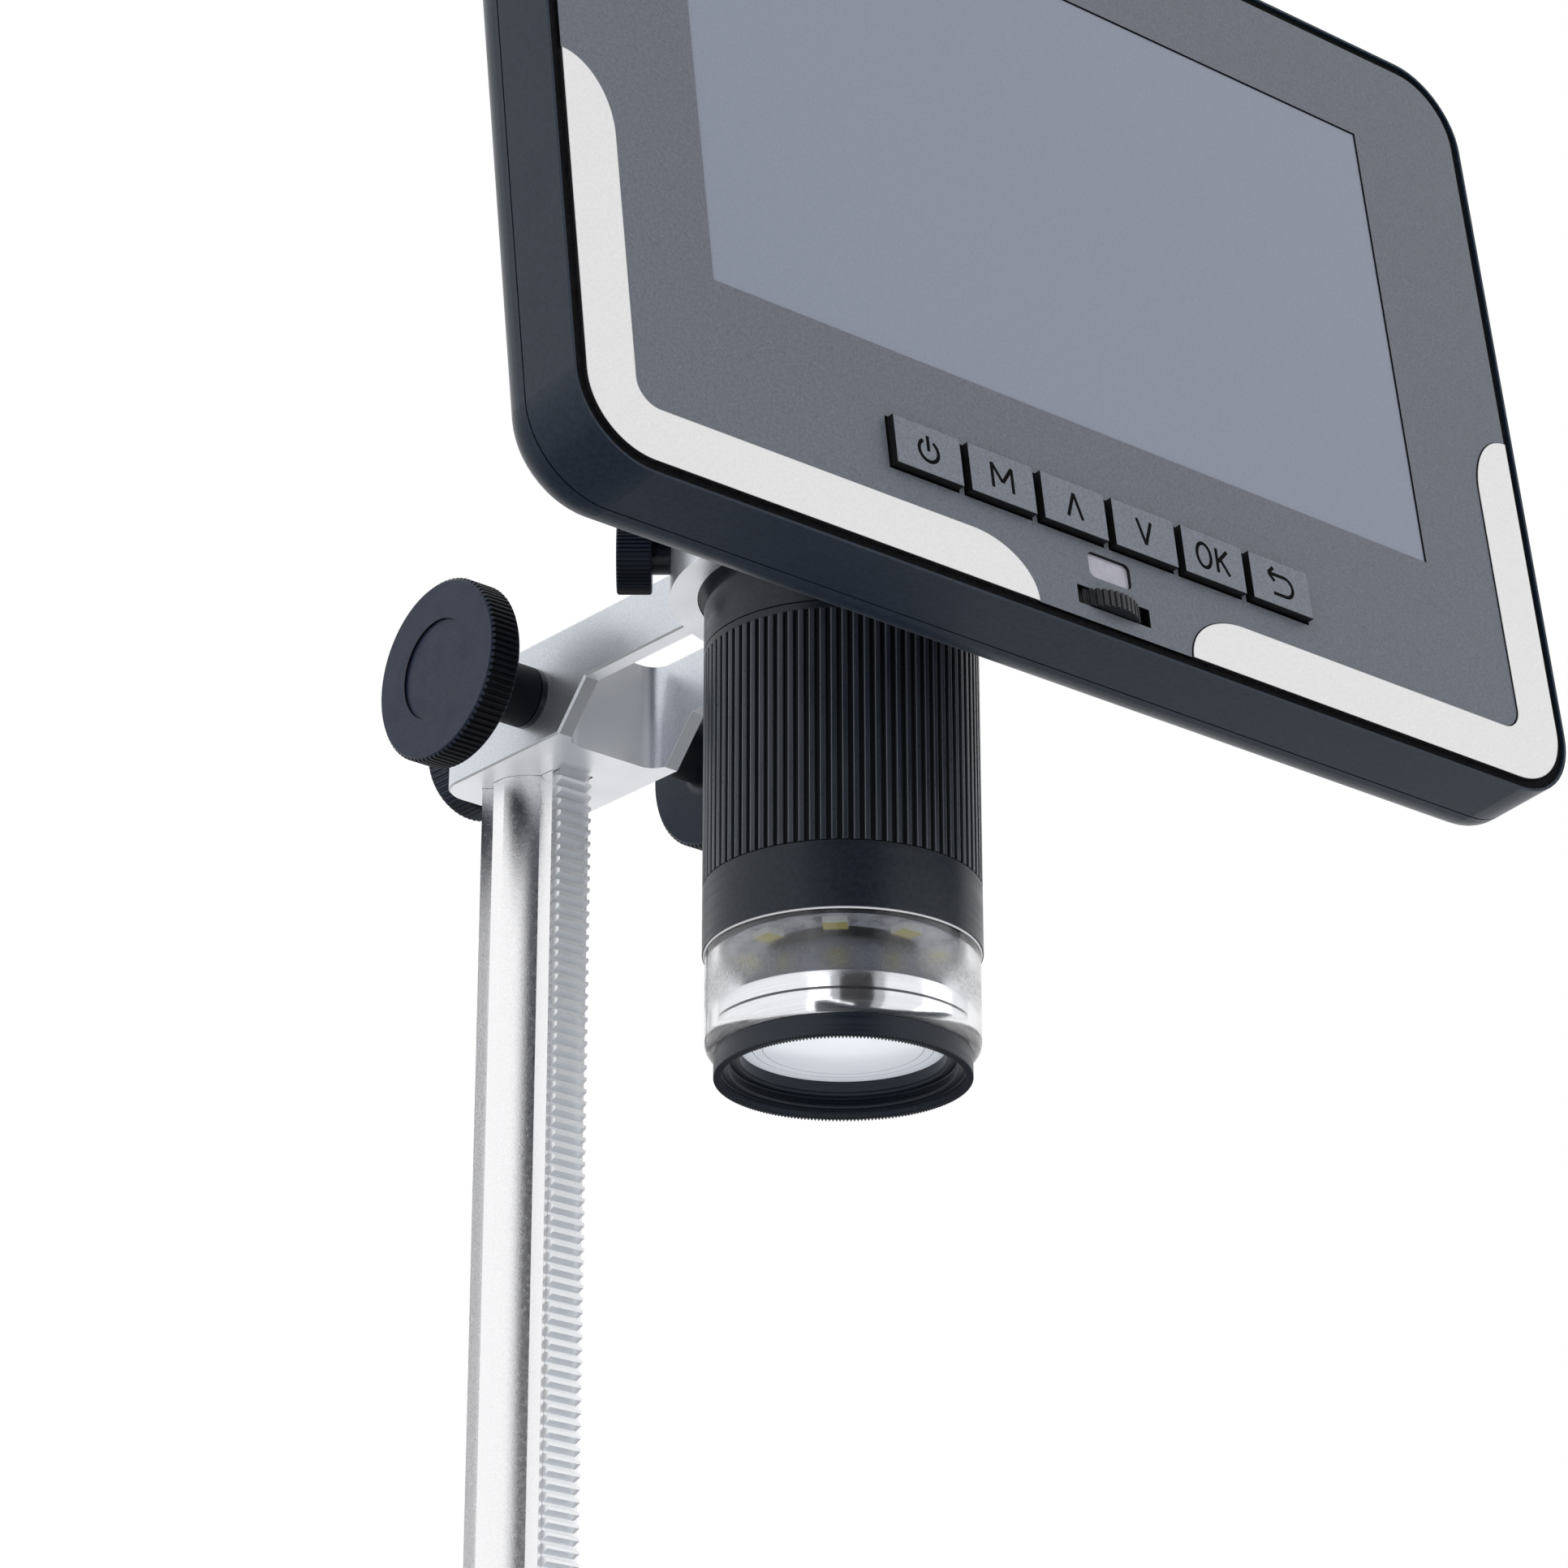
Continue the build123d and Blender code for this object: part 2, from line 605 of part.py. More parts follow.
def pinion_shaft():
    """Shaft with the pinion cut on its middle and a screw hole in each end."""
    end = SHAFT_END
    half = PINION_WIDTH / 2
    shaft = disc(SHAFT_RADIUS, -end, end)
    shaft += Pos(0, 0, -half) * extrude(pinion_outline(), PINION_WIDTH)
    shaft -= disc(KNOB_SCREW_RADIUS, end - KNOB_SCREW_LENGTH, end)
    shaft -= disc(KNOB_SCREW_RADIUS, -end, -end + KNOB_SCREW_LENGTH)
    return along_x(shaft, 0, PINION_Y, PINION_Z)


def right_knob():
    """Ribbed knob with a hub; the face has a round seat for the cap."""
    face = KNOB_FACE_X
    back = face - KNOB_THICKNESS
    hub_end = ARM_HALF_WIDTH + BUSH_OUT + HUB_GAP
    cap_floor = KNOB_CAP_FLOOR
    knob = rib_disc(KNOB_RADIUS, KNOB_RIB_DEPTH, KNOB_RIBS, back, face)
    knob &= chamfered_disc(KNOB_RADIUS, KNOB_CHAMFER, back, face)
    knob += disc(KNOB_HUB_RADIUS, hub_end, back)
    foot = knob.edges().filter_by(GeomType.CIRCLE).filter_by(lambda e: abs(e.center().Z - back) < 0.01)
    knob = fillet(foot.filter_by(lambda e: abs(e.radius - KNOB_HUB_RADIUS) < 0.01), KNOB_HUB_FILLET)
    knob -= disc(CAP_DISC_RADIUS + CAP_DISC_FIT, cap_floor, face)
    knob -= disc(KNOB_SCREW_HEAD_RADIUS, cap_floor - KNOB_SCREW_HEAD, cap_floor)
    knob -= disc(SHAFT_RADIUS, hub_end, SHAFT_END)
    knob -= disc(KNOB_SCREW_RADIUS, back, face)
    return along_x(knob, 0, PINION_Y, PINION_Z)


def knob_cap():
    cap = disc(CAP_DISC_RADIUS, KNOB_CAP_FLOOR, KNOB_CAP_FLOOR + CAP_DISC_THICKNESS)
    return along_x(cap, 0, PINION_Y, PINION_Z)


def knob_screw():
    top = KNOB_CAP_FLOOR
    screw = disc(KNOB_SCREW_HEAD_RADIUS, top - KNOB_SCREW_HEAD, top)
    screw += disc(KNOB_SCREW_RADIUS, SHAFT_END - KNOB_SCREW_LENGTH, top)
    return along_x(screw, 0, PINION_Y, PINION_Z)


# ---------------------------------------------------------------- clamps

def on_lock(shape):
    """Lay a shape made about Z along the lock screw, z = 0 on the column's axis."""
    return Pos(0, COLUMN_Y, LENS_HEIGHT + LOCK_HEIGHT) * Rot(-90, 0, 0) * shape


def lock_screw():
    """Screw through the block's rear wall, its tip at the column."""
    tip = COLUMN_REAR + SCREW_FIT
    end = BLOCK_REAR + LOCK_KNOB_GAP + LOCK_KNOB_THICKNESS / 2
    return on_lock(disc(LOCK_SCREW_RADIUS, tip, end))


def lock_knob():
    start = BLOCK_REAR + LOCK_KNOB_GAP
    end = start + LOCK_KNOB_THICKNESS
    knob = rib_disc(LOCK_KNOB_RADIUS, SMALL_RIB_DEPTH, LOCK_RIBS, start, end)
    knob &= chamfered_disc(LOCK_KNOB_RADIUS, KNOB_CHAMFER, start, end)
    return on_lock(knob - disc(LOCK_SCREW_RADIUS, start, start + LOCK_KNOB_THICKNESS / 2))


def thumb_screw():
    """Screw through the clamp ring, its tip at the barrel's neck."""
    tip = NECK_RADIUS + NECK_FIT
    end = RING_RADIUS + THUMB_KNOB_OUT + THUMB_KNOB_LENGTH / 2
    return thumb_place(disc(THUMB_SCREW_RADIUS, tip, end))


def thumb_knob():
    start = RING_RADIUS + THUMB_KNOB_OUT
    end = start + THUMB_KNOB_LENGTH
    knob = rib_disc(THUMB_KNOB_RADIUS, SMALL_RIB_DEPTH, THUMB_RIBS, start, end)
    knob &= chamfered_disc(THUMB_KNOB_RADIUS, SMALL_RIB_DEPTH, start, end)
    return thumb_place(knob - disc(THUMB_SCREW_RADIUS, start, start + THUMB_KNOB_LENGTH / 2))


# ---------------------------------------------------------------- barrel

def filter_ring():
    """Filter ring with stepped bore; its top meets the hood, and its spigot reaches up to the glass."""
    outside = CELL_LEDGE - SPIGOT_CLEARANCE
    inside = outside - SPIGOT_WALL
    return on_barrel(turned([
        (FILTER_MOUTH, -FILTER_SKIRT), (FILTER_RADIUS, -FILTER_SKIRT), (FILTER_RADIUS, FILTER_HEIGHT),
        (outside, FILTER_HEIGHT), (outside, GLASS_BOTTOM), (inside, GLASS_BOTTOM), (inside, SPIGOT_FOOT),
        (FILTER_LIP, SPIGOT_FOOT), (FILTER_LIP, FILTER_STEP_2), (FILTER_THREAD, FILTER_STEP_2),
        (FILTER_THREAD, FILTER_STEP_1), (FILTER_MOUTH, FILTER_STEP_1),
    ]))


def clear_hood():
    """Clear hood round the LEDs, rounded at its lower outer edge."""
    hood = disc(HOOD_RADIUS, FILTER_HEIGHT, HOOD_TOP)
    hood = fillet(hood.faces().sort_by(Axis.Z)[0].edges(), min(HOOD_ROUND, HOOD_WALL * 0.96))
    return on_barrel(hood - disc(HOOD_RADIUS - HOOD_WALL, FILTER_HEIGHT, HOOD_TOP))


def lens_cell():
    """Polished cell with a glass seat, and a snoot that keeps the LEDs' light out of the lens."""
    snoot_foot = GLASS_RADIUS + SNOOT_WALL
    glass_top = GLASS_BOTTOM + GLASS_THICKNESS
    low = CELL_GROOVE_HEIGHT - CELL_GROOVE / 2
    high = CELL_GROOVE_HEIGHT + CELL_GROOVE / 2
    return on_barrel(turned([
        (CELL_LEDGE, FILTER_HEIGHT), (CELL_RADIUS, FILTER_HEIGHT), (CELL_RADIUS, low),
        (CELL_RADIUS - CELL_GROOVE, low), (CELL_RADIUS - CELL_GROOVE, high), (CELL_RADIUS, high),
        (CELL_RADIUS, CELL_TOP), (snoot_foot, CELL_TOP), (SNOOT_TOP_RADIUS, SNOOT_TOP),
        (SNOOT_TOP_RADIUS - SNOOT_WALL, SNOOT_TOP), (GLASS_RADIUS, CELL_TOP), (GLASS_RADIUS, glass_top),
        (GLASS_RADIUS, GLASS_BOTTOM), (CELL_LEDGE, GLASS_BOTTOM),
    ]))


def filter_glass():
    return on_barrel(disc(GLASS_RADIUS, GLASS_BOTTOM, GLASS_BOTTOM + GLASS_THICKNESS))


def lower_sleeve():
    return on_barrel(ring(BARREL_RADIUS, TUBE_RADIUS, HOOD_TOP, LOWER_SLEEVE_TOP))


def barrel_sleeve():
    return on_barrel(ring(BARREL_RADIUS, TUBE_RADIUS, BARREL_SLEEVE_BOTTOM, BARREL_TOP))


def pin_room():
    """Half the height that the drive pin needs for its whole travel."""
    return PIN_RADIUS + PIN_CLEARANCE + CARRIER_TRAVEL


def inner_tube():
    """Fixed tube of the barrel, slotted for the drive pin."""
    tube = ring(TUBE_RADIUS, TUBE_RADIUS - TUBE_WALL, HOOD_TOP, TUBE_TOP)
    half = PIN_RADIUS + PIN_CLEARANCE
    slot = block(0, TUBE_RADIUS + 1, -half, half, CARRIER_MIDDLE - pin_room(), CARRIER_MIDDLE + pin_room())
    return on_barrel(tube - Rot(0, 0, PIN_ANGLE) * slot)


def focus_ring():
    """Ribbed ring that turns on the inner tube; an inner recess takes the drive pin."""
    body = rib_disc(BARREL_RADIUS, FOCUS_RIB_DEPTH, FOCUS_RIBS, FOCUS_BOTTOM, FOCUS_TOP)
    body += disc(BARREL_RADIUS, FOCUS_TOP - FOCUS_RIB_END, FOCUS_TOP)
    body -= disc(TUBE_RADIUS + FOCUS_FIT, FOCUS_BOTTOM, FOCUS_TOP)
    low = CARRIER_MIDDLE - pin_room()
    high = CARRIER_MIDDLE + pin_room()
    return on_barrel(body - disc(PIN_REACH + PIN_CLEARANCE, low, high))


def carrier_radius():
    return TUBE_RADIUS - TUBE_WALL - CARRIER_FIT


def carrier_pin(length):
    """Round pin from the carrier's bore outwards along X."""
    bore = carrier_radius() - CARRIER_WALL
    return Pos(bore, 0, CARRIER_MIDDLE) * Rot(0, 90, 0) * disc(PIN_RADIUS, 0, length)


def lens_carrier():
    """Sliding cell that holds both lenses."""
    outer = carrier_radius()
    low = CARRIER_MIDDLE - CARRIER_LENGTH / 2
    high = CARRIER_MIDDLE + CARRIER_LENGTH / 2
    bore = outer - CARRIER_WALL
    body = ring(outer, bore, low, high)
    return on_barrel(body - Rot(0, 0, PIN_ANGLE) * carrier_pin(CARRIER_WALL + 1))


def drive_pin():
    """Pin that reaches from the carrier through the tube into the focus ring."""
    length = PIN_REACH - carrier_radius() + CARRIER_WALL
    return on_barrel(Rot(0, 0, PIN_ANGLE) * carrier_pin(length))


def carrier_lens(offset_down):
    """One lens in the carrier, its lower face a given way up from the carrier's lower end."""
    low = CARRIER_MIDDLE - CARRIER_LENGTH / 2 + offset_down
    return on_barrel(disc(carrier_radius() - CARRIER_WALL, low, low + LENS_THICKNESS))


def led_board():
    outer = TUBE_RADIUS - TUBE_WALL
    return on_barrel(ring(outer, LED_BOARD_HOLE, LED_BOARD_BOTTOM, LED_BOARD_BOTTOM + LED_BOARD_THICKNESS))


def leds():
    """LED chips under the board, lighting downwards."""
    chip = block(
        LED_CIRCLE - LED_WIDTH / 2, LED_CIRCLE + LED_WIDTH / 2, -LED_LENGTH / 2, LED_LENGTH / 2,
        LED_BOARD_BOTTOM - LED_HEIGHT, LED_BOARD_BOTTOM,
    )
    return [on_barrel(Rot(0, 0, i * 360 / LED_COUNT) * chip) for i in range(LED_COUNT)]


def neck_tube():
    """Neck that turns in the clamp ring; its flange sits on the hump's floor."""
    floor_top = HUMP_BOTTOM + HUMP_WALL
    return on_barrel(turned([
        (TUBE_RADIUS, BARREL_TOP), (NECK_REVEAL_RADIUS, BARREL_TOP), (NECK_REVEAL_RADIUS, NECK_BOTTOM),
        (NECK_RADIUS, NECK_BOTTOM), (NECK_RADIUS, floor_top), (NECK_FLANGE_RADIUS, floor_top),
        (NECK_FLANGE_RADIUS, floor_top + NECK_FLANGE), (TUBE_RADIUS, floor_top + NECK_FLANGE),
    ]))


def sensor_board():
    board = disc(TUBE_RADIUS, TUBE_TOP, TUBE_TOP + SENSOR_BOARD_THICKNESS)
    return on_barrel(board)


def image_sensor():
    half = SENSOR_SIZE / 2
    return on_barrel(block(-half, half, -half, half, TUBE_TOP - SENSOR_HEIGHT, TUBE_TOP))


# ---------------------------------------------------------------- display head

def key_x(index):
    return (index - (KEY_COUNT - 1) / 2) * KEY_PITCH


def key_rect(index, grow):
    place = Pos(key_x(index), KEY_MIDDLE)
    return place * Rectangle(KEY_WIDTH + 2 * grow, KEY_HEIGHT + 2 * grow)


def trim_outline(grow=0.0):
    """Left trim: a band round the lower corner with a rounded end on each arm."""
    left = -DISPLAY_WIDTH / 2 + PANEL_INSET
    low = -DISPLAY_BELOW + PANEL_INSET
    width = TRIM_WIDTH + grow
    end_x = -TRIM_END_X + grow - TRIM_END_LENGTH
    end_z = DISPLAY_ABOVE - TRIM_TOP_MARGIN + grow - TRIM_END_LENGTH
    inside = outline(PANEL_INSET) - (
        Pos(left + width, low + width) * RectangleRounded(
            DISPLAY_WIDTH, DISPLAY_ABOVE, TRIM_INNER_CORNER, align=(Align.MIN, Align.MIN))
    )
    keep = Pos(left, low) * Rectangle(end_x - left, end_z - low, align=(Align.MIN, Align.MIN))
    band = inside & keep
    foot = Pos(end_x, low) * Ellipse(TRIM_END_LENGTH, width)
    foot &= Pos(end_x, low) * Rectangle(TRIM_END_LENGTH, width, align=(Align.MIN, Align.MIN))
    head = Pos(left, end_z) * Ellipse(width, TRIM_END_LENGTH)
    head &= Pos(left, end_z) * Rectangle(width, TRIM_END_LENGTH, align=(Align.MIN, Align.MIN))
    return band + foot + head


def trim_left():
    return on_display(slab(trim_outline(), -TRIM_PROUD, PANEL_THICKNESS))


def face_cuts(front, rear):
    """Openings that the face panel and the shell's web share: keys and the LCD."""
    cuts = slab(window(LCD_WIDTH, LCD_HEIGHT, LCD_BOTTOM, LCD_GAP), front, rear)
    for i in range(KEY_COUNT):
        cuts += slab(key_rect(i, KEY_GAP), front, rear)
    return cuts


def face_panel():
    """Flat front panel between the trims, with the LCD, key, IR and wheel openings."""
    panel = slab(outline(PANEL_INSET), 0, PANEL_THICKNESS)
    trim = slab(trim_outline(TRIM_GAP), -1, PANEL_THICKNESS + 1)
    panel -= trim
    panel -= mirror(trim, Plane.YZ)
    panel -= face_cuts(0, PANEL_THICKNESS)
    panel -= slab(RectangleRounded(IR_WIDTH, IR_HEIGHT, IR_CORNER), 0, PANEL_THICKNESS)
    panel -= slab(Pos(0, WHEEL_MIDDLE) * Rectangle(SLOT_WIDTH, SLOT_HEIGHT), 0, PANEL_THICKNESS)
    return on_display(panel)


def front_shell():
    """Front half of the case: side wall, web behind the panel, posts for screws and boards."""
    shell = slab(outline(0), 0, SEAM_DEPTH - SEAM_GAP / 2)
    shell -= slab(outline(CASE_WALL), WEB_REAR, SEAM_DEPTH)
    shell -= slab(outline(RIM), 0, WEB_FRONT)
    shell -= face_cuts(WEB_FRONT, WEB_REAR)
    shell -= slab(Rectangle(IR_WIDTH - 1, IR_HEIGHT - 1), WEB_FRONT, WEB_REAR)
    room = WHEEL_ROOM
    wheel_room = Rectangle(2 * (WHEEL_RADIUS + room), WHEEL_WIDTH + 2 * room)
    shell -= slab(Pos(0, WHEEL_MIDDLE) * wheel_room, WEB_FRONT, WEB_REAR)
    for x in (-post_x(), post_x()):
        shell += slab(Pos(x, KEY_MIDDLE) * Circle(POST_RADIUS), WEB_REAR, KEY_BOARD_FRONT)
    for x, z in case_screw_places():
        shell += slab(Pos(x, z) * Circle(CASE_POST_RADIUS), WEB_REAR, BACK_INSIDE)
        shell -= slab(Pos(x, z) * Circle(CASE_SCREW_RADIUS), screw_tip(), BACK_INSIDE)
    wall = DISPLAY_WIDTH / 2 - CASE_WALL
    hole = Rot(0, 90, 0) * disc(JACK_HOLE + JACK_RELIEF, 0, CASE_WALL + 2)
    return on_display(shell - Pos(wall - 1, jack_depth(), jack_height()) * hole)


def post_x():
    """Key board posts stand just outside the outer keys."""
    return key_x(KEY_COUNT - 1) + KEY_WIDTH / 2 + POST_RADIUS + 1.5


def case_screw_places():
    x = DISPLAY_WIDTH / 2 - CASE_SCREW_SIDE
    low = CASE_SCREW_END - DISPLAY_BELOW
    high = DISPLAY_ABOVE - CASE_SCREW_END
    return [(-x, low), (-x, high), (x, low), (x, high)]


def screw_tip():
    return DISPLAY_DEPTH - CASE_SCREW_HEAD - CASE_SCREW_LENGTH


def hump(inset, front):
    """Camera hump as a solid in the part's frame, behind a given depth of the display."""
    half = HUMP_HALF_WIDTH - inset
    rear = HUMP_REAR - inset
    length = rear + FACE_AHEAD
    plan = Pos(0, rear - length / 2) * Rectangle(2 * half, length)
    plan = fillet(plan.vertices().group_by(Axis.Y)[-1], max(HUMP_CORNER - inset, 0.5))
    solid = extrude(plan, HUMP_HEIGHT - 2 * inset)
    edge = HUMP_EDGE - inset
    if edge > 0:
        solid = fillet(solid.faces().sort_by(Axis.Z)[-1].edges().group_by(Axis.Y)[1:], edge)
    solid = on_barrel(Pos(0, 0, HUMP_BOTTOM + inset) * solid)
    return solid & on_display(slab(outline(CASE_WALL), front, front + REACH + FACE_AHEAD))


def rear_cover():
    """Rear half of the case with its rounded back edge, the tongue and a window to the camera."""
    front = SEAM_DEPTH + SEAM_GAP / 2
    tray = slab(outline(0), front, DISPLAY_DEPTH)
    tray = fillet(tray.faces().sort_by(Axis.Y)[-1].edges(), DISPLAY_ROUND)
    tray -= slab(outline(CASE_WALL), front, BACK_INSIDE)
    tongue_out = CASE_WALL + TONGUE_GAP
    tongue = slab(outline(tongue_out), TONGUE_FRONT, front + 1)
    tongue -= slab(outline(tongue_out + TONGUE_WALL), TONGUE_FRONT, front + 1)
    link = slab(outline(CASE_WALL - TONGUE_ROOT), front, front + 1)
    link -= slab(outline(tongue_out + TONGUE_WALL), front, front + 1)
    tray += tongue
    tray += link
    for x, z in case_screw_places():
        tray -= slab(Pos(x, z) * Circle(CASE_SCREW_RADIUS + CASE_SCREW_FIT), BACK_INSIDE, DISPLAY_DEPTH)
        head = Circle(CASE_SCREW_HEAD_RADIUS + CASE_SCREW_FIT)
        tray -= slab(Pos(x, z) * head, DISPLAY_DEPTH - CASE_SCREW_HEAD, DISPLAY_DEPTH)
    return on_display(tray) - hump(HUMP_WALL, BACK_INSIDE)


def camera_housing():
    """Housing on the back of the display; its floor holds the neck over the clamp ring."""
    shell = hump(0, DISPLAY_DEPTH) - hump(HUMP_WALL, DISPLAY_DEPTH)
    return shell - on_barrel(disc(NECK_RADIUS, HUMP_BOTTOM, HUMP_BOTTOM + HUMP_WALL))


def case_screws():
    """Four screws from the back into the front shell's posts."""
    screws = []
    for x, z in case_screw_places():
        seat = DISPLAY_DEPTH - CASE_SCREW_HEAD
        screw = slab(Pos(x, z) * Circle(CASE_SCREW_RADIUS), screw_tip(), seat)
        screw += slab(Pos(x, z) * Circle(CASE_SCREW_HEAD_RADIUS), seat, DISPLAY_DEPTH)
        screws.append(on_display(screw))
    return screws


def lcd_glass():
    return on_display(slab(window(LCD_WIDTH, LCD_HEIGHT, LCD_BOTTOM), LCD_SINK, WEB_REAR))


def lcd_module():
    """Backlight and panel behind the web."""
    sketch = window(LCD_WIDTH, LCD_HEIGHT, LCD_BOTTOM, MODULE_MARGIN)
    return on_display(slab(sketch, WEB_REAR, MODULE_REAR))


def key(index):
    """Key cap with a flange above and below it that keeps it in the case."""
    cap = slab(key_rect(index, 0), -KEY_PROUD, KEY_REAR)
    flange = Pos(key_x(index), KEY_MIDDLE) * Rectangle(KEY_WIDTH, KEY_HEIGHT + 2 * KEY_FLANGE)
    return on_display(cap + slab(flange, KEY_FLANGE_FRONT, KEY_REAR))


def tact_switches():
    switches = []
    for i in range(KEY_COUNT):
        place = Pos(key_x(i), KEY_MIDDLE)
        top = KEY_BOARD_FRONT - SWITCH_HEIGHT
        switch = slab(place * Rectangle(SWITCH_SIZE, SWITCH_SIZE), top, KEY_BOARD_FRONT)
        switch += slab(place * Circle(PLUNGER_RADIUS), top - PLUNGER_HEIGHT, top)
        switches.append(on_display(switch))
    return switches


def key_board():
    half = post_x() + POST_RADIUS
    sketch = Pos(0, KEY_MIDDLE) * Rectangle(2 * half, KEY_HEIGHT + KEY_BOARD_OVERHANG)
    return on_display(slab(sketch, KEY_BOARD_FRONT, KEY_BOARD_FRONT + KEY_BOARD_THICKNESS))


def ir_window():
    sketch = RectangleRounded(IR_WIDTH - 0.1, IR_HEIGHT - 0.1, IR_CORNER - 0.05)
    return on_display(slab(sketch, IR_SINK, WEB_FRONT))


def on_wheel(shape):
    """Lay a shape made about Z on the thumbwheel's axis, z = 0 at its middle."""
    return on_display(Pos(0, WHEEL_DEPTH, WHEEL_MIDDLE) * shape)


def brightness_wheel():
    half = WHEEL_WIDTH / 2
    wheel = rib_disc(WHEEL_RADIUS, WHEEL_RIB_DEPTH, WHEEL_RIBS, -half, half)
    return on_wheel(wheel - disc(WHEEL_PIN_RADIUS + WHEEL_BORE_FIT, -half, half))


def wheel_pot():
    """Potentiometer under the wheel, standing on the case's lower wall, with its pin."""
    floor = -DISPLAY_BELOW + CASE_WALL - WHEEL_MIDDLE
    top = -WHEEL_WIDTH / 2 - 0.1
    rear = TONGUE_FRONT - POT_GAP - WHEEL_DEPTH
    pot = block(-POT_HALF_WIDTH, POT_HALF_WIDTH, WEB_REAR - WHEEL_DEPTH, rear, floor, top)
    return on_wheel(pot + disc(WHEEL_PIN_RADIUS, floor, WHEEL_WIDTH / 2 + 0.3))


def board_height():
    return DISPLAY_ABOVE - BOARD_TOP_MARGIN - BOARD_BOTTOM


def main_board():
    left = BOARD_LEFT_MARGIN - DISPLAY_WIDTH / 2
    width = DISPLAY_WIDTH - BOARD_LEFT_MARGIN - BOARD_RIGHT_MARGIN
    sketch = Pos(left, BOARD_BOTTOM) * Rectangle(width, board_height(), align=(Align.MIN, Align.MIN))
    return on_display(slab(sketch, MODULE_REAR, MODULE_REAR + BOARD_THICKNESS))


def battery_pack():
    front = MODULE_REAR + BOARD_THICKNESS
    width = DISPLAY_WIDTH - 2 * BATTERY_SIDE_MARGIN - BOARD_LEFT_MARGIN - BOARD_RIGHT_MARGIN
    height = board_height() - 2 * BATTERY_END_MARGIN
    sketch = Pos(0, BOARD_BOTTOM + board_height() / 2) * Rectangle(width, height)
    return on_display(slab(sketch, front, front + BATTERY_THICKNESS))


def jack_depth():
    return (WEB_REAR + MODULE_REAR) / 2


def jack_height():
    return DISPLAY_ABOVE - JACK_TOP_MARGIN


def dc_jack():
    """Power inlet behind the right side wall, between the web and the main board."""
    wall = DISPLAY_WIDTH / 2 - CASE_WALL
    half = JACK_HEIGHT / 2
    body = block(wall - JACK_LENGTH, wall, WEB_REAR, MODULE_REAR, jack_height() - half, jack_height() + half)
    bore = disc(JACK_HOLE, 0, JACK_LENGTH - JACK_FLOOR)
    mouth = Pos(wall - JACK_LENGTH + JACK_FLOOR, jack_depth(), jack_height())
    return on_display(body - mouth * Rot(0, 90, 0) * bore)


# ---------------------------------------------------------------- all nodes

def mirrored(shape):
    return mirror(shape, Plane.YZ)


def nodes():
    """Every node with its solid or its group of solids."""
    parts = {
        "base_plate": base_plate(),
        "base_feet": base_feet(),
        "work_mat": work_mat(),
        "column": column(),
        "column_collar": column_collar(),
        "column_bolt": column_bolt(),
        "column_cap": column_cap(),
        "rack": rack(),
        "arm_bracket": arm_bracket(),
        "pinion_bushes": pinion_bushes(),
        "swivel_washer": swivel_washer(),
        "pinion_shaft": pinion_shaft(),
        "right_knob": right_knob(),
        "left_knob": mirrored(right_knob()),
        "knob_caps": [knob_cap(), mirrored(knob_cap())],
        "knob_screws": [knob_screw(), mirrored(knob_screw())],
        "lock_screw": lock_screw(),
        "lock_knob": lock_knob(),
        "thumb_screw": thumb_screw(),
        "thumb_knob": thumb_knob(),
        "filter_ring": filter_ring(),
        "filter_glass": filter_glass(),
        "clear_hood": clear_hood(),
        "lens_cell": lens_cell(),
        "lower_sleeve": lower_sleeve(),
        "barrel_sleeve": barrel_sleeve(),
        "inner_tube": inner_tube(),
        "focus_ring": focus_ring(),
        "lens_carrier": lens_carrier(),
        "drive_pin": drive_pin(),
        "lenses": [carrier_lens(LENS_SINK), carrier_lens(CARRIER_LENGTH - LENS_SINK - LENS_THICKNESS)],
        "led_board": led_board(),
        "leds": leds(),
        "neck_tube": neck_tube(),
        "sensor_board": sensor_board(),
        "image_sensor": image_sensor(),
        "front_shell": front_shell(),
        "rear_cover": rear_cover(),
        "camera_housing": camera_housing(),
        "case_screws": case_screws(),
        "face_panel": face_panel(),
        "trim_left": trim_left(),
        "trim_right": mirrored(trim_left()),
        "lcd_glass": lcd_glass(),
        "lcd_module": lcd_module(),
        "key_board": key_board(),
        "tact_switches": tact_switches(),
        "ir_window": ir_window(),
        "brightness_wheel": brightness_wheel(),
        "wheel_pot": wheel_pot(),
        "main_board": main_board(),
        "battery_pack": battery_pack(),
        "dc_jack": dc_jack(),
    }
    for index, name in enumerate(KEY_NAMES[:KEY_COUNT]):
        parts["key_" + name] = key(index)
    return parts


os.makedirs("parts", exist_ok=True)
for node, shape in nodes().items():
    solid = Compound(children=shape) if isinstance(shape, list) else shape
    export_step(solid, f"parts/{node}.step")
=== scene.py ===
import math

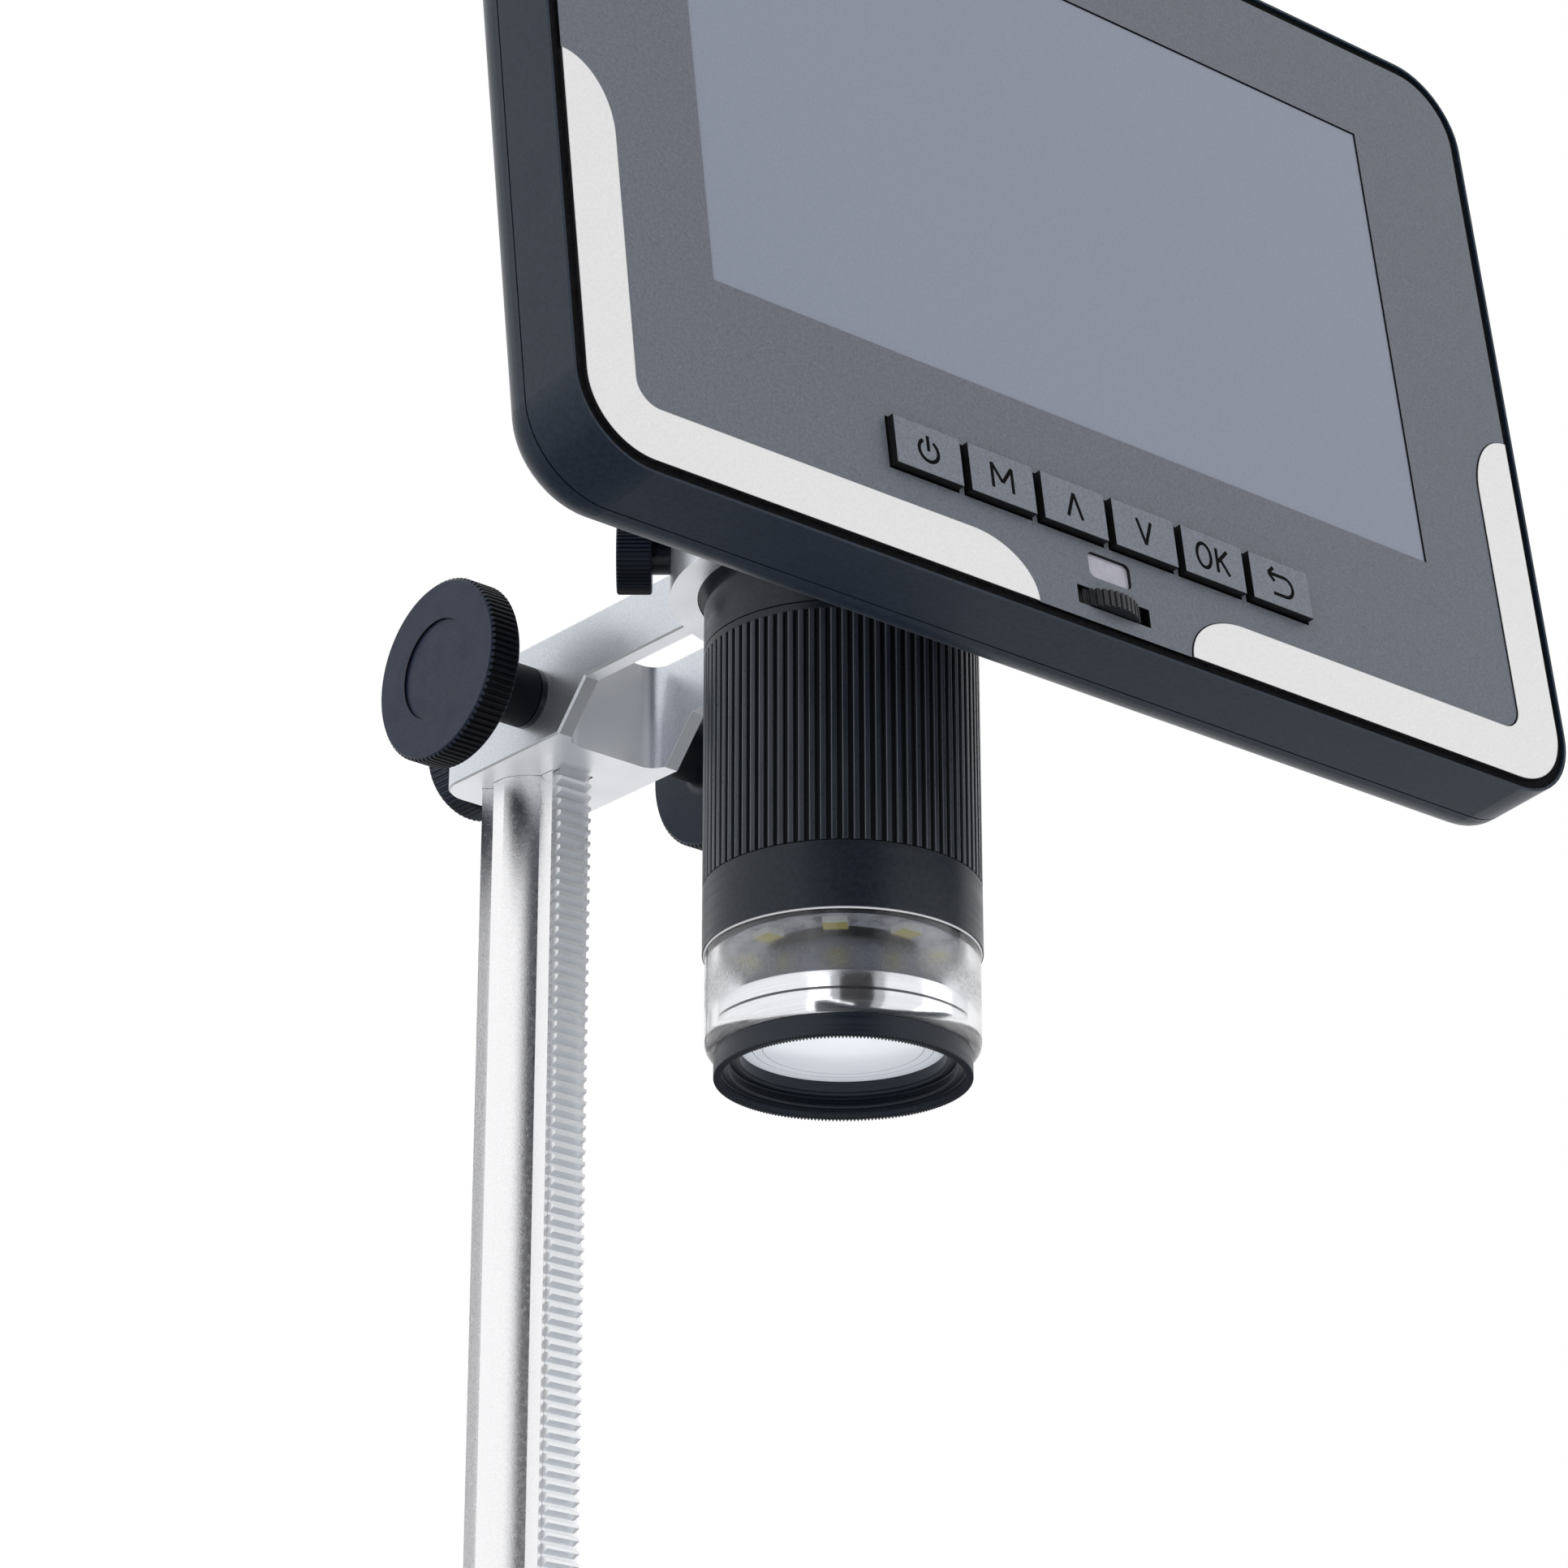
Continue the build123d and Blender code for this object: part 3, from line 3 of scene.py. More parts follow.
import bpy
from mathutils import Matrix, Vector


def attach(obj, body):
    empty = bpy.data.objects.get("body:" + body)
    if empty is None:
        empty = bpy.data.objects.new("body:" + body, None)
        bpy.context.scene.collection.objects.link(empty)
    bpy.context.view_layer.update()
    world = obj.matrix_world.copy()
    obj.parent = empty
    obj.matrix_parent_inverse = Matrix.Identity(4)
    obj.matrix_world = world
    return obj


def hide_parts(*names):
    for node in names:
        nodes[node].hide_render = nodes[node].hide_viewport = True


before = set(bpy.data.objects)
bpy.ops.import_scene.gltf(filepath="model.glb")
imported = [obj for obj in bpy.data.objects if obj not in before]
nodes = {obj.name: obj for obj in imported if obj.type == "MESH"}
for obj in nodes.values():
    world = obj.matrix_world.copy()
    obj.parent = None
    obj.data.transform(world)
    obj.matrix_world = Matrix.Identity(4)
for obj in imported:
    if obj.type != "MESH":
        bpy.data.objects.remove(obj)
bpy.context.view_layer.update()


# ---------------------------------------------------------------- camera
# Looks up at the lens end of the barrel and the lower left corner of the display
# from the front left, with a long lens and no shift.
LENS_MM = 115.53
SENSOR_MM = 36.0
NEAR_CLIP = 0.02
EYE = (-0.35794, -0.43298, 0.01234)
HEADING = -40.065
PITCH_UP = 22.607

camera_data = bpy.data.cameras.new("camera")
camera_data.lens = LENS_MM
camera_data.sensor_width = SENSOR_MM
camera_data.clip_start = NEAR_CLIP
camera = bpy.data.objects.new("camera", camera_data)
camera.location = EYE
camera.rotation_euler = (math.radians(90 + PITCH_UP), 0, math.radians(HEADING))
bpy.context.scene.collection.objects.link(camera)
bpy.context.scene.camera = camera
bpy.context.scene.view_settings.view_transform = "Standard"


# ---------------------------------------------------------------- room
# A white room: a soft even light on the object, and plain white where the camera,
# glossy surfaces and clear ones look past it.
ROOM_DIFFUSE = 0.72

world = bpy.data.worlds.new("room")
bpy.context.scene.world = world
world.use_nodes = True
tree = world.node_tree
tree.nodes.clear()


def camera_rays(tree):
    """1 for camera rays."""
    return tree.nodes.new("ShaderNodeLightPath").outputs["Is Camera Ray"]


def rays_that_see(tree):
    """1 for camera, glossy and transmission rays, 0 for diffuse ones."""
    light_path = tree.nodes.new("ShaderNodeLightPath")
    seen = camera_rays(tree)
    for kind in ("Is Glossy Ray", "Is Transmission Ray"):
        either = tree.nodes.new("ShaderNodeMath")
        either.operation = "ADD"
        either.use_clamp = True
        tree.links.new(seen, either.inputs[0])
        tree.links.new(light_path.outputs[kind], either.inputs[1])
        seen = either.outputs[0]
    return seen


soft_room = tree.nodes.new("ShaderNodeBackground")
soft_room.inputs["Color"].default_value = (1, 1, 1, 1)
soft_room.inputs["Strength"].default_value = ROOM_DIFFUSE
white_room = tree.nodes.new("ShaderNodeBackground")
white_room.inputs["Color"].default_value = (1, 1, 1, 1)
choose = tree.nodes.new("ShaderNodeMixShader")
tree.links.new(rays_that_see(tree), choose.inputs["Fac"])
tree.links.new(soft_room.outputs[0], choose.inputs[1])
tree.links.new(white_room.outputs[0], choose.inputs[2])
room_out = tree.nodes.new("ShaderNodeOutputWorld")
tree.links.new(choose.outputs[0], room_out.inputs["Surface"])


# ---------------------------------------------------------------- lamps
# Two soft boxes, the stronger one on the left, both aimed at the lens end. They
# don't show as shapes in polished metal.
LAMP_AIM = (0, 0, 0.24)


def soft_box(name, place, size, watts):
    """A square area lamp that points at the lens end."""
    lamp = bpy.data.lights.new(name, "AREA")
    lamp.shape = "RECTANGLE"
    lamp.size = size
    lamp.size_y = size
    lamp.energy = watts
    thing = bpy.data.objects.new(name, lamp)
    thing.location = place
    thing.rotation_euler = (Vector(LAMP_AIM) - Vector(place)).to_track_quat("-Z", "Y").to_euler()
    thing.visible_glossy = False
    bpy.context.scene.collection.objects.link(thing)


soft_box("key_light", (-0.9, -0.7, 1.1), size=0.9, watts=3.4)
soft_box("fill_light", (1.0, -0.8, 0.9), size=0.8, watts=1.8)


# ---------------------------------------------------------------- floor
# A sheet of pale paper. The camera sees part of its own light, which carries the
# object's shadow, and part plain white; glossy and clear surfaces see white.
FLOOR_COLOUR = (0.86, 0.86, 0.86, 1)
FLOOR_SIZE = 8.0
FLOOR_ROUGHNESS = 0.9
SHADOW_SHARE = 0.45


def select_none():
    """Nothing selected, in object mode."""
    if bpy.context.object and bpy.context.object.mode == "EDIT":
        bpy.ops.object.mode_set(mode="OBJECT")
    bpy.ops.object.select_all(action="DESELECT")


select_none()
bpy.ops.mesh.primitive_plane_add(size=FLOOR_SIZE, location=(0, 0, 0))
floor = bpy.context.object
floor.name = "floor"
floor_finish = bpy.data.materials.new("floor_paper")
floor_finish.use_nodes = True
tree = floor_finish.node_tree
paper = tree.nodes["Principled BSDF"]
paper.inputs["Base Color"].default_value = FLOOR_COLOUR
paper.inputs["Roughness"].default_value = FLOOR_ROUGHNESS
white_share = tree.nodes.new("ShaderNodeMath")
white_share.operation = "MULTIPLY_ADD"
white_share.inputs[1].default_value = -SHADOW_SHARE
tree.links.new(camera_rays(tree), white_share.inputs[0])
tree.links.new(rays_that_see(tree), white_share.inputs[2])
lit_paper = tree.nodes.new("ShaderNodeEmission")
lit_paper.inputs["Strength"].default_value = 1.0
paper_mix = tree.nodes.new("ShaderNodeMixShader")
tree.links.new(white_share.outputs[0], paper_mix.inputs["Fac"])
tree.links.new(paper.outputs[0], paper_mix.inputs[1])
tree.links.new(lit_paper.outputs[0], paper_mix.inputs[2])
tree.links.new(paper_mix.outputs[0], tree.nodes["Material Output"].inputs["Surface"])
floor.data.materials.append(floor_finish)


# ---------------------------------------------------------------- flags
# Grey and black cards that only glossy and clear surfaces see: two curved upright
# ones and a round one on the floor. They give polished metal its darker bands.
FLAG_BLUENESS = 1.05
FLAG_STEPS = 16
TABLE_FLAG_RADIUS = 0.44
TABLE_FLAG_HEIGHT = 0.0015


def flag_finish(card, shade):
    """An even shade on a card that only glossy and clear surfaces see."""
    made = bpy.data.materials.new(card.name)
    made.use_nodes = True
    made.node_tree.nodes.clear()
    glow = made.node_tree.nodes.new("ShaderNodeEmission")
    glow.inputs["Color"].default_value = (shade, shade, shade * FLAG_BLUENESS, 1)
    card_out = made.node_tree.nodes.new("ShaderNodeOutputMaterial")
    made.node_tree.links.new(glow.outputs[0], card_out.inputs["Surface"])
    card.data.materials.append(made)
    card.visible_camera = False
    card.visible_diffuse = False
    card.visible_shadow = False
    card.visible_volume_scatter = False


def lone_point(name, place):
    """A mesh of one point, left selected in edit mode for the extrudes to come."""
    select_none()
    bpy.ops.mesh.primitive_plane_add(size=1)
    piece = bpy.context.object
    piece.name = name
    bpy.ops.object.mode_set(mode="EDIT")
    bpy.ops.mesh.select_all(action="SELECT")
    bpy.ops.mesh.merge(type="CENTER")
    bpy.ops.object.mode_set(mode="OBJECT")
    piece.data.vertices[0].co = place
    bpy.ops.object.mode_set(mode="EDIT")
    bpy.ops.mesh.select_all(action="SELECT")
    return piece


def upright_flag(name, centre, half_width, low, high, radius, shade):
    """A curved upright card round the object; angles in degrees from the camera's
    side, positive to the camera's right."""
    start = math.radians(HEADING - 90 + centre - half_width)
    card = lone_point(name, (radius * math.cos(start), radius * math.sin(start), low))
    bpy.ops.mesh.extrude_region_move(TRANSFORM_OT_translate={"value": (0, 0, high - low)})
    bpy.ops.mesh.select_all(action="SELECT")
    bpy.ops.mesh.spin(
        steps=FLAG_STEPS, angle=math.radians(-2 * half_width), center=(0, 0, 0), axis=(0, 0, 1))
    bpy.ops.object.mode_set(mode="OBJECT")
    flag_finish(card, shade)


upright_flag("side_flag", centre=13, half_width=24, low=0.35, high=2.2, radius=1.3, shade=0.45)
upright_flag("dark_flag", centre=12, half_width=15, low=0.10, high=2.2, radius=1.25, shade=0.02)

select_none()
bpy.ops.mesh.primitive_circle_add(
    vertices=64, radius=TABLE_FLAG_RADIUS, fill_type="NGON", location=(0, 0, TABLE_FLAG_HEIGHT))
table_flag = bpy.context.object
table_flag.name = "table_flag"
flag_finish(table_flag, shade=0.45)


# ---------------------------------------------------------------- base
# A heavy pressed steel plate with rounded corners, powder coated in fine black
# texture, on four rubber feet let into its underside.
def finish(name, colour, roughness, metallic=0.0):
    """A new material; returns it, its node tree and its shader."""
    made = bpy.data.materials.new(name)
    made.use_nodes = True
    shader = made.node_tree.nodes["Principled BSDF"]
    shader.inputs["Base Color"].default_value = (*colour, 1)
    shader.inputs["Roughness"].default_value = roughness
    shader.inputs["Metallic"].default_value = metallic
    return made, made.node_tree, shader


def place_scaled(tree, stretch=(1, 1, 1)):
    """Object coordinates through a mapping that stretches a pattern."""
    coordinates = tree.nodes.new("ShaderNodeTexCoord")
    mapping = tree.nodes.new("ShaderNodeMapping")
    mapping.inputs["Scale"].default_value = stretch
    tree.links.new(coordinates.outputs["Object"], mapping.inputs["Vector"])
    return mapping.outputs["Vector"]


def grain(tree, per_metre, detail, stretch=(1, 1, 1), roughness=0.55):
    """Noise with so many grains to the metre."""
    noise = tree.nodes.new("ShaderNodeTexNoise")
    noise.inputs["Scale"].default_value = per_metre
    noise.inputs["Detail"].default_value = detail
    noise.inputs["Roughness"].default_value = roughness
    tree.links.new(place_scaled(tree, stretch), noise.inputs["Vector"])
    return noise.outputs["Fac"]


def spread(tree, value, low, high, at_low=0.3, at_high=0.7):
    """Value from at_low..at_high carried to low..high."""
    span = tree.nodes.new("ShaderNodeMapRange")
    span.inputs["From Min"].default_value = at_low
    span.inputs["From Max"].default_value = at_high
    span.inputs["To Min"].default_value = low
    span.inputs["To Max"].default_value = high
    tree.links.new(value, span.inputs["Value"])
    return span.outputs["Result"]


def blend_colour(tree, factor, first, second):
    """Colour from first to second by a factor; either may be a socket."""
    mix = tree.nodes.new("ShaderNodeMix")
    mix.data_type = "RGBA"
    tree.links.new(factor, mix.inputs["Factor"])
    for socket, colour in ((mix.inputs["A"], first), (mix.inputs["B"], second)):
        if isinstance(colour, tuple):
            socket.default_value = (*colour, 1)
        else:
            tree.links.new(colour, socket)
    return mix.outputs["Result"]


def speckled(tree, pattern, first, second, at_low=0.3, at_high=0.7):
    """Colour from first to second with a pattern."""
    return blend_colour(tree, spread(tree, pattern, 0, 1, at_low, at_high), first, second)


EDGE_TURN = (0.80, 0.995)


def edged(tree, tint, edge_colour, radius, share=1.0):
    """The tint, carried a share of the way to another colour along sharp edges; a lighter edge colour
    makes a painted highlight there.
    """
    rounded = tree.nodes.new("ShaderNodeBevel")
    rounded.samples = 4
    rounded.inputs["Radius"].default_value = radius
    geometry = tree.nodes.new("ShaderNodeNewGeometry")
    turn = tree.nodes.new("ShaderNodeVectorMath")
    turn.operation = "DOT_PRODUCT"
    tree.links.new(rounded.outputs["Normal"], turn.inputs[0])
    tree.links.new(geometry.outputs["Normal"], turn.inputs[1])
    edge = spread(tree, turn.outputs["Value"], 1.0, 0.0, *EDGE_TURN)
    if share < 1:
        edge = spread(tree, edge, 0, share, 0, 1)
    return blend_colour(tree, edge, tint, edge_colour)


def paint(tree, shader, tint):
    """Gives the shader its colour."""
    tree.links.new(tint, shader.inputs["Base Color"])


def roughen(tree, shader, pattern, low, high):
    """Roughness from low to high with a pattern."""
    tree.links.new(spread(tree, pattern, low, high), shader.inputs["Roughness"])


def raise_surface(tree, shader, pattern, depth, strength):
    """Bump of so many metres on the shader."""
    bump = tree.nodes.new("ShaderNodeBump")
    bump.inputs["Strength"].default_value = strength
    bump.inputs["Distance"].default_value = depth
    tree.links.new(pattern, bump.inputs["Height"])
    tree.links.new(bump.outputs["Normal"], shader.inputs["Normal"])


def dress(material, *names):
    """Puts a material on CAD nodes."""
    for name in names:
        thing = nodes[name]
        if not thing.material_slots:
            thing.data.materials.append(material)
        for slot in thing.material_slots:
            slot.material = material


base_paint, tree, shader = finish("base_paint", (0.022, 0.023, 0.026), 0.5)
pits = grain(tree, per_metre=1400, detail=3)
tint = speckled(tree, pits, (0.016, 0.017, 0.020), (0.034, 0.035, 0.039))
# Painted highlight: the plate's sharp edges are painted paler.
paint(tree, shader, edged(tree, tint, (0.07, 0.072, 0.078), radius=0.0008))
roughen(tree, shader, pits, 0.42, 0.6)
raise_surface(tree, shader, pits, depth=0.00012, strength=0.6)
dress(base_paint, "base_plate")

foot_rubber, tree, shader = finish("foot_rubber", (0.02, 0.02, 0.02), 0.8)
pits = grain(tree, per_metre=900, detail=4)
paint(tree, shader, speckled(tree, pits, (0.013, 0.013, 0.014), (0.035, 0.035, 0.036)))
roughen(tree, shader, pits, 0.7, 0.9)
raise_surface(tree, shader, pits, depth=0.0001, strength=0.5)
dress(foot_rubber, "base_feet")


# ---------------------------------------------------------------- work mat
# A square of soft grey silicone, let into the base, with a fine moulded check so
# that small specimens don't slide.
CHECKS_PER_METRE = 500

work_mat_finish, tree, shader = finish("mat", (0.2, 0.21, 0.22), 0.75)
check = tree.nodes.new("ShaderNodeTexChecker")
check.inputs["Scale"].default_value = CHECKS_PER_METRE
tree.links.new(place_scaled(tree), check.inputs["Vector"])
dust = grain(tree, per_metre=600, detail=4)
tint = blend_colour(tree, check.outputs["Fac"], (0.15, 0.155, 0.165), (0.19, 0.195, 0.205))
paint(tree, shader, blend_colour(tree, spread(tree, dust, 0, 0.35), tint, (0.27, 0.275, 0.285)))
roughen(tree, shader, dust, 0.65, 0.85)
raise_surface(tree, shader, check.outputs["Fac"], depth=0.0001, strength=0.5)
dress(work_mat_finish, "work_mat")


# ---------------------------------------------------------------- column
# An extruded aluminium column, satin polished along its length, held at its foot
# by a machined collar and a bolt from below.
column_metal, tree, shader = finish("column_metal", (0.93, 0.93, 0.94), 0.2, 1.0)
draw_lines = grain(tree, per_metre=2600, detail=3, stretch=(1, 1, 0.012))
flecks = grain(tree, per_metre=5200, detail=4, roughness=0.75)
blotches = grain(tree, per_metre=1500, detail=4)
tint = speckled(tree, flecks, (0.87, 0.87, 0.89), (1.0, 1.0, 1.0))
tint = blend_colour(tree, spread(tree, draw_lines, 0, 0.3), tint, (0.93, 0.93, 0.95))
# Painted shade: the column's sharp edges are painted darker.
paint(tree, shader, edged(tree, tint, (0.74, 0.74, 0.79), radius=0.00022, share=0.6))
roughen(tree, shader, blotches, 0.19, 0.30)
raise_surface(tree, shader, flecks, depth=0.00004, strength=0.6)
dress(column_metal, "column")


# ---------------------------------------------------------------- rack
# A zinc plated steel rack with cut teeth, let into a groove down the column's
# front, where the pinion climbs it.
rack_metal, tree, shader = finish("rack_metal", (0.88, 0.91, 0.95), 0.34, 0.75)
flecks = grain(tree, per_metre=2200, detail=4)
tint = speckled(tree, flecks, (0.90, 0.93, 0.98), (0.98, 0.99, 1.0))
# Painted highlight: the teeth's sharp edges are painted white.
paint(tree, shader, edged(tree, tint, (1.0, 1.0, 1.0), radius=0.00018))
roughen(tree, shader, flecks, 0.28, 0.42)
raise_surface(tree, shader, flecks, depth=0.00002, strength=0.4)
dress(rack_metal, "rack")


# ---------------------------------------------------------------- shaft, bolt and screws
# Turned steel parts, bright and lightly oiled: the pinion's shaft, the bolt in the
# column's foot, the knobs' and the case's screws and the focus ring's drive pin.
steel, tree, shader = finish("steel", (0.62, 0.62, 0.63), 0.25, 1.0)
flecks = grain(tree, per_metre=1800, detail=3)
paint(tree, shader, speckled(tree, flecks, (0.52, 0.52, 0.54), (0.72, 0.72, 0.73)))
roughen(tree, shader, flecks, 0.2, 0.38)
dress(steel, "column_bolt", "pinion_shaft", "knob_screws", "drive_pin", "case_screws")


# ---------------------------------------------------------------- arm bracket
# One aluminium casting, fine blasted all over, clamped on the column by the lock
# screw; its ring carries the barrel's neck. Painted light makes its undersides and
# front faces paler, painted shade darkens its slanted chamfers, and its edges carry
# a painted highlight.
PAINTED_LIGHT_FACING = (-0.95, -0.85)
SHADED_CHAMFER_FACING = -0.67
SHADED_CHAMFER_SPREAD = 0.12


def normal_parts(tree):
    """The x, y and z of the way that a surface faces."""
    split = tree.nodes.new("ShaderNodeSeparateXYZ")
    tree.links.new(tree.nodes.new("ShaderNodeTexCoord").outputs["Normal"], split.inputs[0])
    return split.outputs


def band(tree, value, middle, half_width):
    """1 where a value lies close to the middle, 0 elsewhere."""
    near = tree.nodes.new("ShaderNodeMath")
    near.operation = "COMPARE"
    near.inputs[1].default_value = middle
    near.inputs[2].default_value = half_width
    tree.links.new(value, near.inputs[0])
    return near.outputs[0]


arm_metal, tree, shader = finish("arm_metal", (0.68, 0.70, 0.74), 0.34, 0.8)
blast = grain(tree, per_metre=3200, detail=4, roughness=0.7)
cloud = grain(tree, per_metre=160, detail=2)
sides = normal_parts(tree)
tint = speckled(tree, blast, (0.62, 0.65, 0.71), (0.79, 0.82, 0.88))
# Painted light: faces that look down are painted paler.
undersides_painted_light = spread(tree, sides["Z"], 1, 0, *PAINTED_LIGHT_FACING)
tint = blend_colour(tree, undersides_painted_light, tint, (0.93, 0.95, 0.98))
# Painted light: faces that look to the front are painted paler, and made less metallic.
front = spread(tree, sides["Y"], 1, 0, *PAINTED_LIGHT_FACING)
tint = blend_colour(tree, front, tint, (0.93, 0.94, 0.97))
tree.links.new(spread(tree, front, 0.8, 0.3, 0, 1), shader.inputs["Metallic"])
# Painted shade: the slanted chamfers are painted darker.
chamfers_painted_shade = band(tree, sides["Z"], SHADED_CHAMFER_FACING, SHADED_CHAMFER_SPREAD)
tint = blend_colour(tree, chamfers_painted_shade, tint, (0.47, 0.49, 0.51))
# Painted highlight: the sharp edges are painted near white.
paint(tree, shader, edged(tree, tint, (0.99, 0.99, 1.0), radius=0.0002))
roughen(tree, shader, cloud, 0.27, 0.35)
raise_surface(tree, shader, blast, depth=0.00004, strength=0.5)
dress(arm_metal, "arm_bracket", "column_collar")


# ---------------------------------------------------------------- knobs
# Moulded black nylon, spark-eroded satin on the faces, with a ribbed rim. The
# pinion knobs sit on the shaft with a screw under each cap.
KNOB_FACE_FACING = (0.4, 0.7)

knob_plastic, tree, shader = finish("knob_plastic", (0.005, 0.009, 0.022), 0.4)
shader.inputs["Specular IOR Level"].default_value = 0.3
spark = grain(tree, per_metre=2400, detail=3)
cloud = grain(tree, per_metre=300, detail=2)
tint = speckled(tree, spark, (0.003, 0.010, 0.030), (0.009, 0.020, 0.050))
# Painted highlight: the knobs' sharp edges are painted a little paler.
tint = edged(tree, tint, (0.04, 0.044, 0.055), radius=0.0002, share=0.3)
end_face = tree.nodes.new("ShaderNodeMath")
end_face.operation = "ABSOLUTE"
tree.links.new(normal_parts(tree)["X"], end_face.inputs[0])
on_face = spread(tree, end_face.outputs[0], 0, 1, *KNOB_FACE_FACING)
paint(tree, shader, blend_colour(tree, on_face, (0.002, 0.003, 0.007), tint))
gloss = speckled(tree, cloud, (0.34, 0.34, 0.34), (0.46, 0.46, 0.46))
tree.links.new(blend_colour(tree, on_face, (0.6, 0.6, 0.6), gloss), shader.inputs["Roughness"])
raise_surface(tree, shader, spark, depth=0.00002, strength=0.35)
dress(knob_plastic, "right_knob", "left_knob", "knob_caps", "lock_knob", "thumb_knob", "column_cap")


# ---------------------------------------------------------------- bushes and small black parts
# Smooth black parts: the pinion's bushes and the washer that the neck turns in, of
# nylon, the clamps' screws, and the moulded bodies of the small electric parts.
nylon, tree, shader = finish("nylon", (0.006, 0.007, 0.012), 0.3)
shader.inputs["Specular IOR Level"].default_value = 0.4
spark = grain(tree, per_metre=1600, detail=3)
paint(tree, shader, speckled(tree, spark, (0.004, 0.005, 0.009), (0.010, 0.011, 0.018)))
roughen(tree, shader, spark, 0.24, 0.36)
dress(nylon, "pinion_bushes", "swivel_washer", "lock_screw", "thumb_screw", "wheel_pot", "dc_jack",
      "image_sensor", "tact_switches")


# ---------------------------------------------------------------- barrel tubes
# Black anodised tubes, all turned on one axis: smooth sleeves above and below the
# focus ring, the tube and carrier inside, and the neck that swivels in the arm.
barrel_black, tree, shader = finish("barrel_black", (0.010, 0.014, 0.022), 0.36)
shader.inputs["Specular IOR Level"].default_value = 0.3
satin = grain(tree, per_metre=1800, detail=3)
turning = grain(tree, per_metre=1500, detail=2, stretch=(0.05, 0.05, 1))
tint = speckled(tree, satin, (0.010, 0.014, 0.024), (0.018, 0.024, 0.037))
# Painted highlight: the tubes' sharp edges are painted paler.
paint(tree, shader, edged(tree, tint, (0.05, 0.052, 0.058), radius=0.00015, share=0.4))
roughen(tree, shader, turning, 0.28, 0.4)
raise_surface(tree, shader, turning, depth=0.00001, strength=0.25)
dress(barrel_black, "lower_sleeve", "barrel_sleeve", "inner_tube", "lens_carrier", "neck_tube")


# ---------------------------------------------------------------- focus ring
# A black anodised ring with ribs milled all round below a smooth collar. The ribs'
# leading edges carry a painted pale highlight, and painted shade keeps the gaps
# between them dark; the gaps are also dull.
BARREL_Y = -0.018
RIB_TOP = (0.01615, 0.01635)
RING_COLLAR_FOOT = (0.25585, 0.25605)
RIB_ROUNDING = 0.0002
EDGE_HIGHLIGHT_BEND = (0.08, 0.35)
EDGE_HIGHLIGHT_SHARE = 0.85


def from_axis(tree):
    """The level line from the barrel's upright axis to a point."""
    coordinates = tree.nodes.new("ShaderNodeTexCoord")
    offset = tree.nodes.new("ShaderNodeVectorMath")
    offset.operation = "SUBTRACT"
    offset.inputs[1].default_value = (0, BARREL_Y, 0)
    tree.links.new(coordinates.outputs["Object"], offset.inputs[0])
    flat = tree.nodes.new("ShaderNodeVectorMath")
    flat.operation = "MULTIPLY"
    flat.inputs[1].default_value = (1, 1, 0)
    tree.links.new(offset.outputs["Vector"], flat.inputs[0])
    return flat.outputs["Vector"]


def axis_distance(tree):
    """Distance in metres from the barrel's upright axis."""
    length = tree.nodes.new("ShaderNodeVectorMath")
    length.operation = "LENGTH"
    tree.links.new(from_axis(tree), length.inputs[0])
    return length.outputs["Value"]


def above_desk(tree):
    """Height in metres of a point above the desk."""
    coordinates = tree.nodes.new("ShaderNodeTexCoord")
    split = tree.nodes.new("ShaderNodeSeparateXYZ")
    tree.links.new(coordinates.outputs["Object"], split.inputs[0])
    return split.outputs["Z"]


rib_black, tree, shader = finish("rib_black", (0.01, 0.012, 0.018), 0.3)
shader.inputs["Specular IOR Level"].default_value = 0.3
on_rib = spread(tree, axis_distance(tree), 0, 1, *RIB_TOP)
on_collar = spread(tree, above_desk(tree), 0, 1, *RING_COLLAR_FOOT)
rounded = tree.nodes.new("ShaderNodeBevel")
rounded.samples = 6
rounded.inputs["Radius"].default_value = RIB_ROUNDING
tangent = tree.nodes.new("ShaderNodeVectorMath")
tangent.operation = "CROSS_PRODUCT"
tangent.inputs[1].default_value = (0, 0, 1)
tree.links.new(from_axis(tree), tangent.inputs[0])
level = tree.nodes.new("ShaderNodeVectorMath")
level.operation = "NORMALIZE"
tree.links.new(tangent.outputs["Vector"], level.inputs[0])
turned = tree.nodes.new("ShaderNodeVectorTransform")
turned.vector_type = "VECTOR"
turned.convert_from = "OBJECT"
turned.convert_to = "WORLD"
tree.links.new(level.outputs["Vector"], turned.inputs[0])
bend = tree.nodes.new("ShaderNodeVectorMath")
bend.operation = "SUBTRACT"
tree.links.new(rounded.outputs["Normal"], bend.inputs[0])
tree.links.new(tree.nodes.new("ShaderNodeNewGeometry").outputs["Normal"], bend.inputs[1])
leading = tree.nodes.new("ShaderNodeVectorMath")
leading.operation = "DOT_PRODUCT"
tree.links.new(bend.outputs["Vector"], leading.inputs[0])
tree.links.new(turned.outputs["Vector"], leading.inputs[1])
# Painted highlight: the ribs' edges that turn one way round the ring are painted pale.
painted_edge_highlight = spread(tree, leading.outputs["Value"], 0, EDGE_HIGHLIGHT_SHARE, *EDGE_HIGHLIGHT_BEND)
satin = grain(tree, per_metre=1800, detail=3)
handled = grain(tree, per_metre=500, detail=4, stretch=(1, 1, 0.25))
rib_tint = speckled(tree, handled, (0.020, 0.026, 0.037), (0.038, 0.046, 0.061))
rib_tint = blend_colour(tree, painted_edge_highlight, rib_tint, (0.32, 0.34, 0.37))
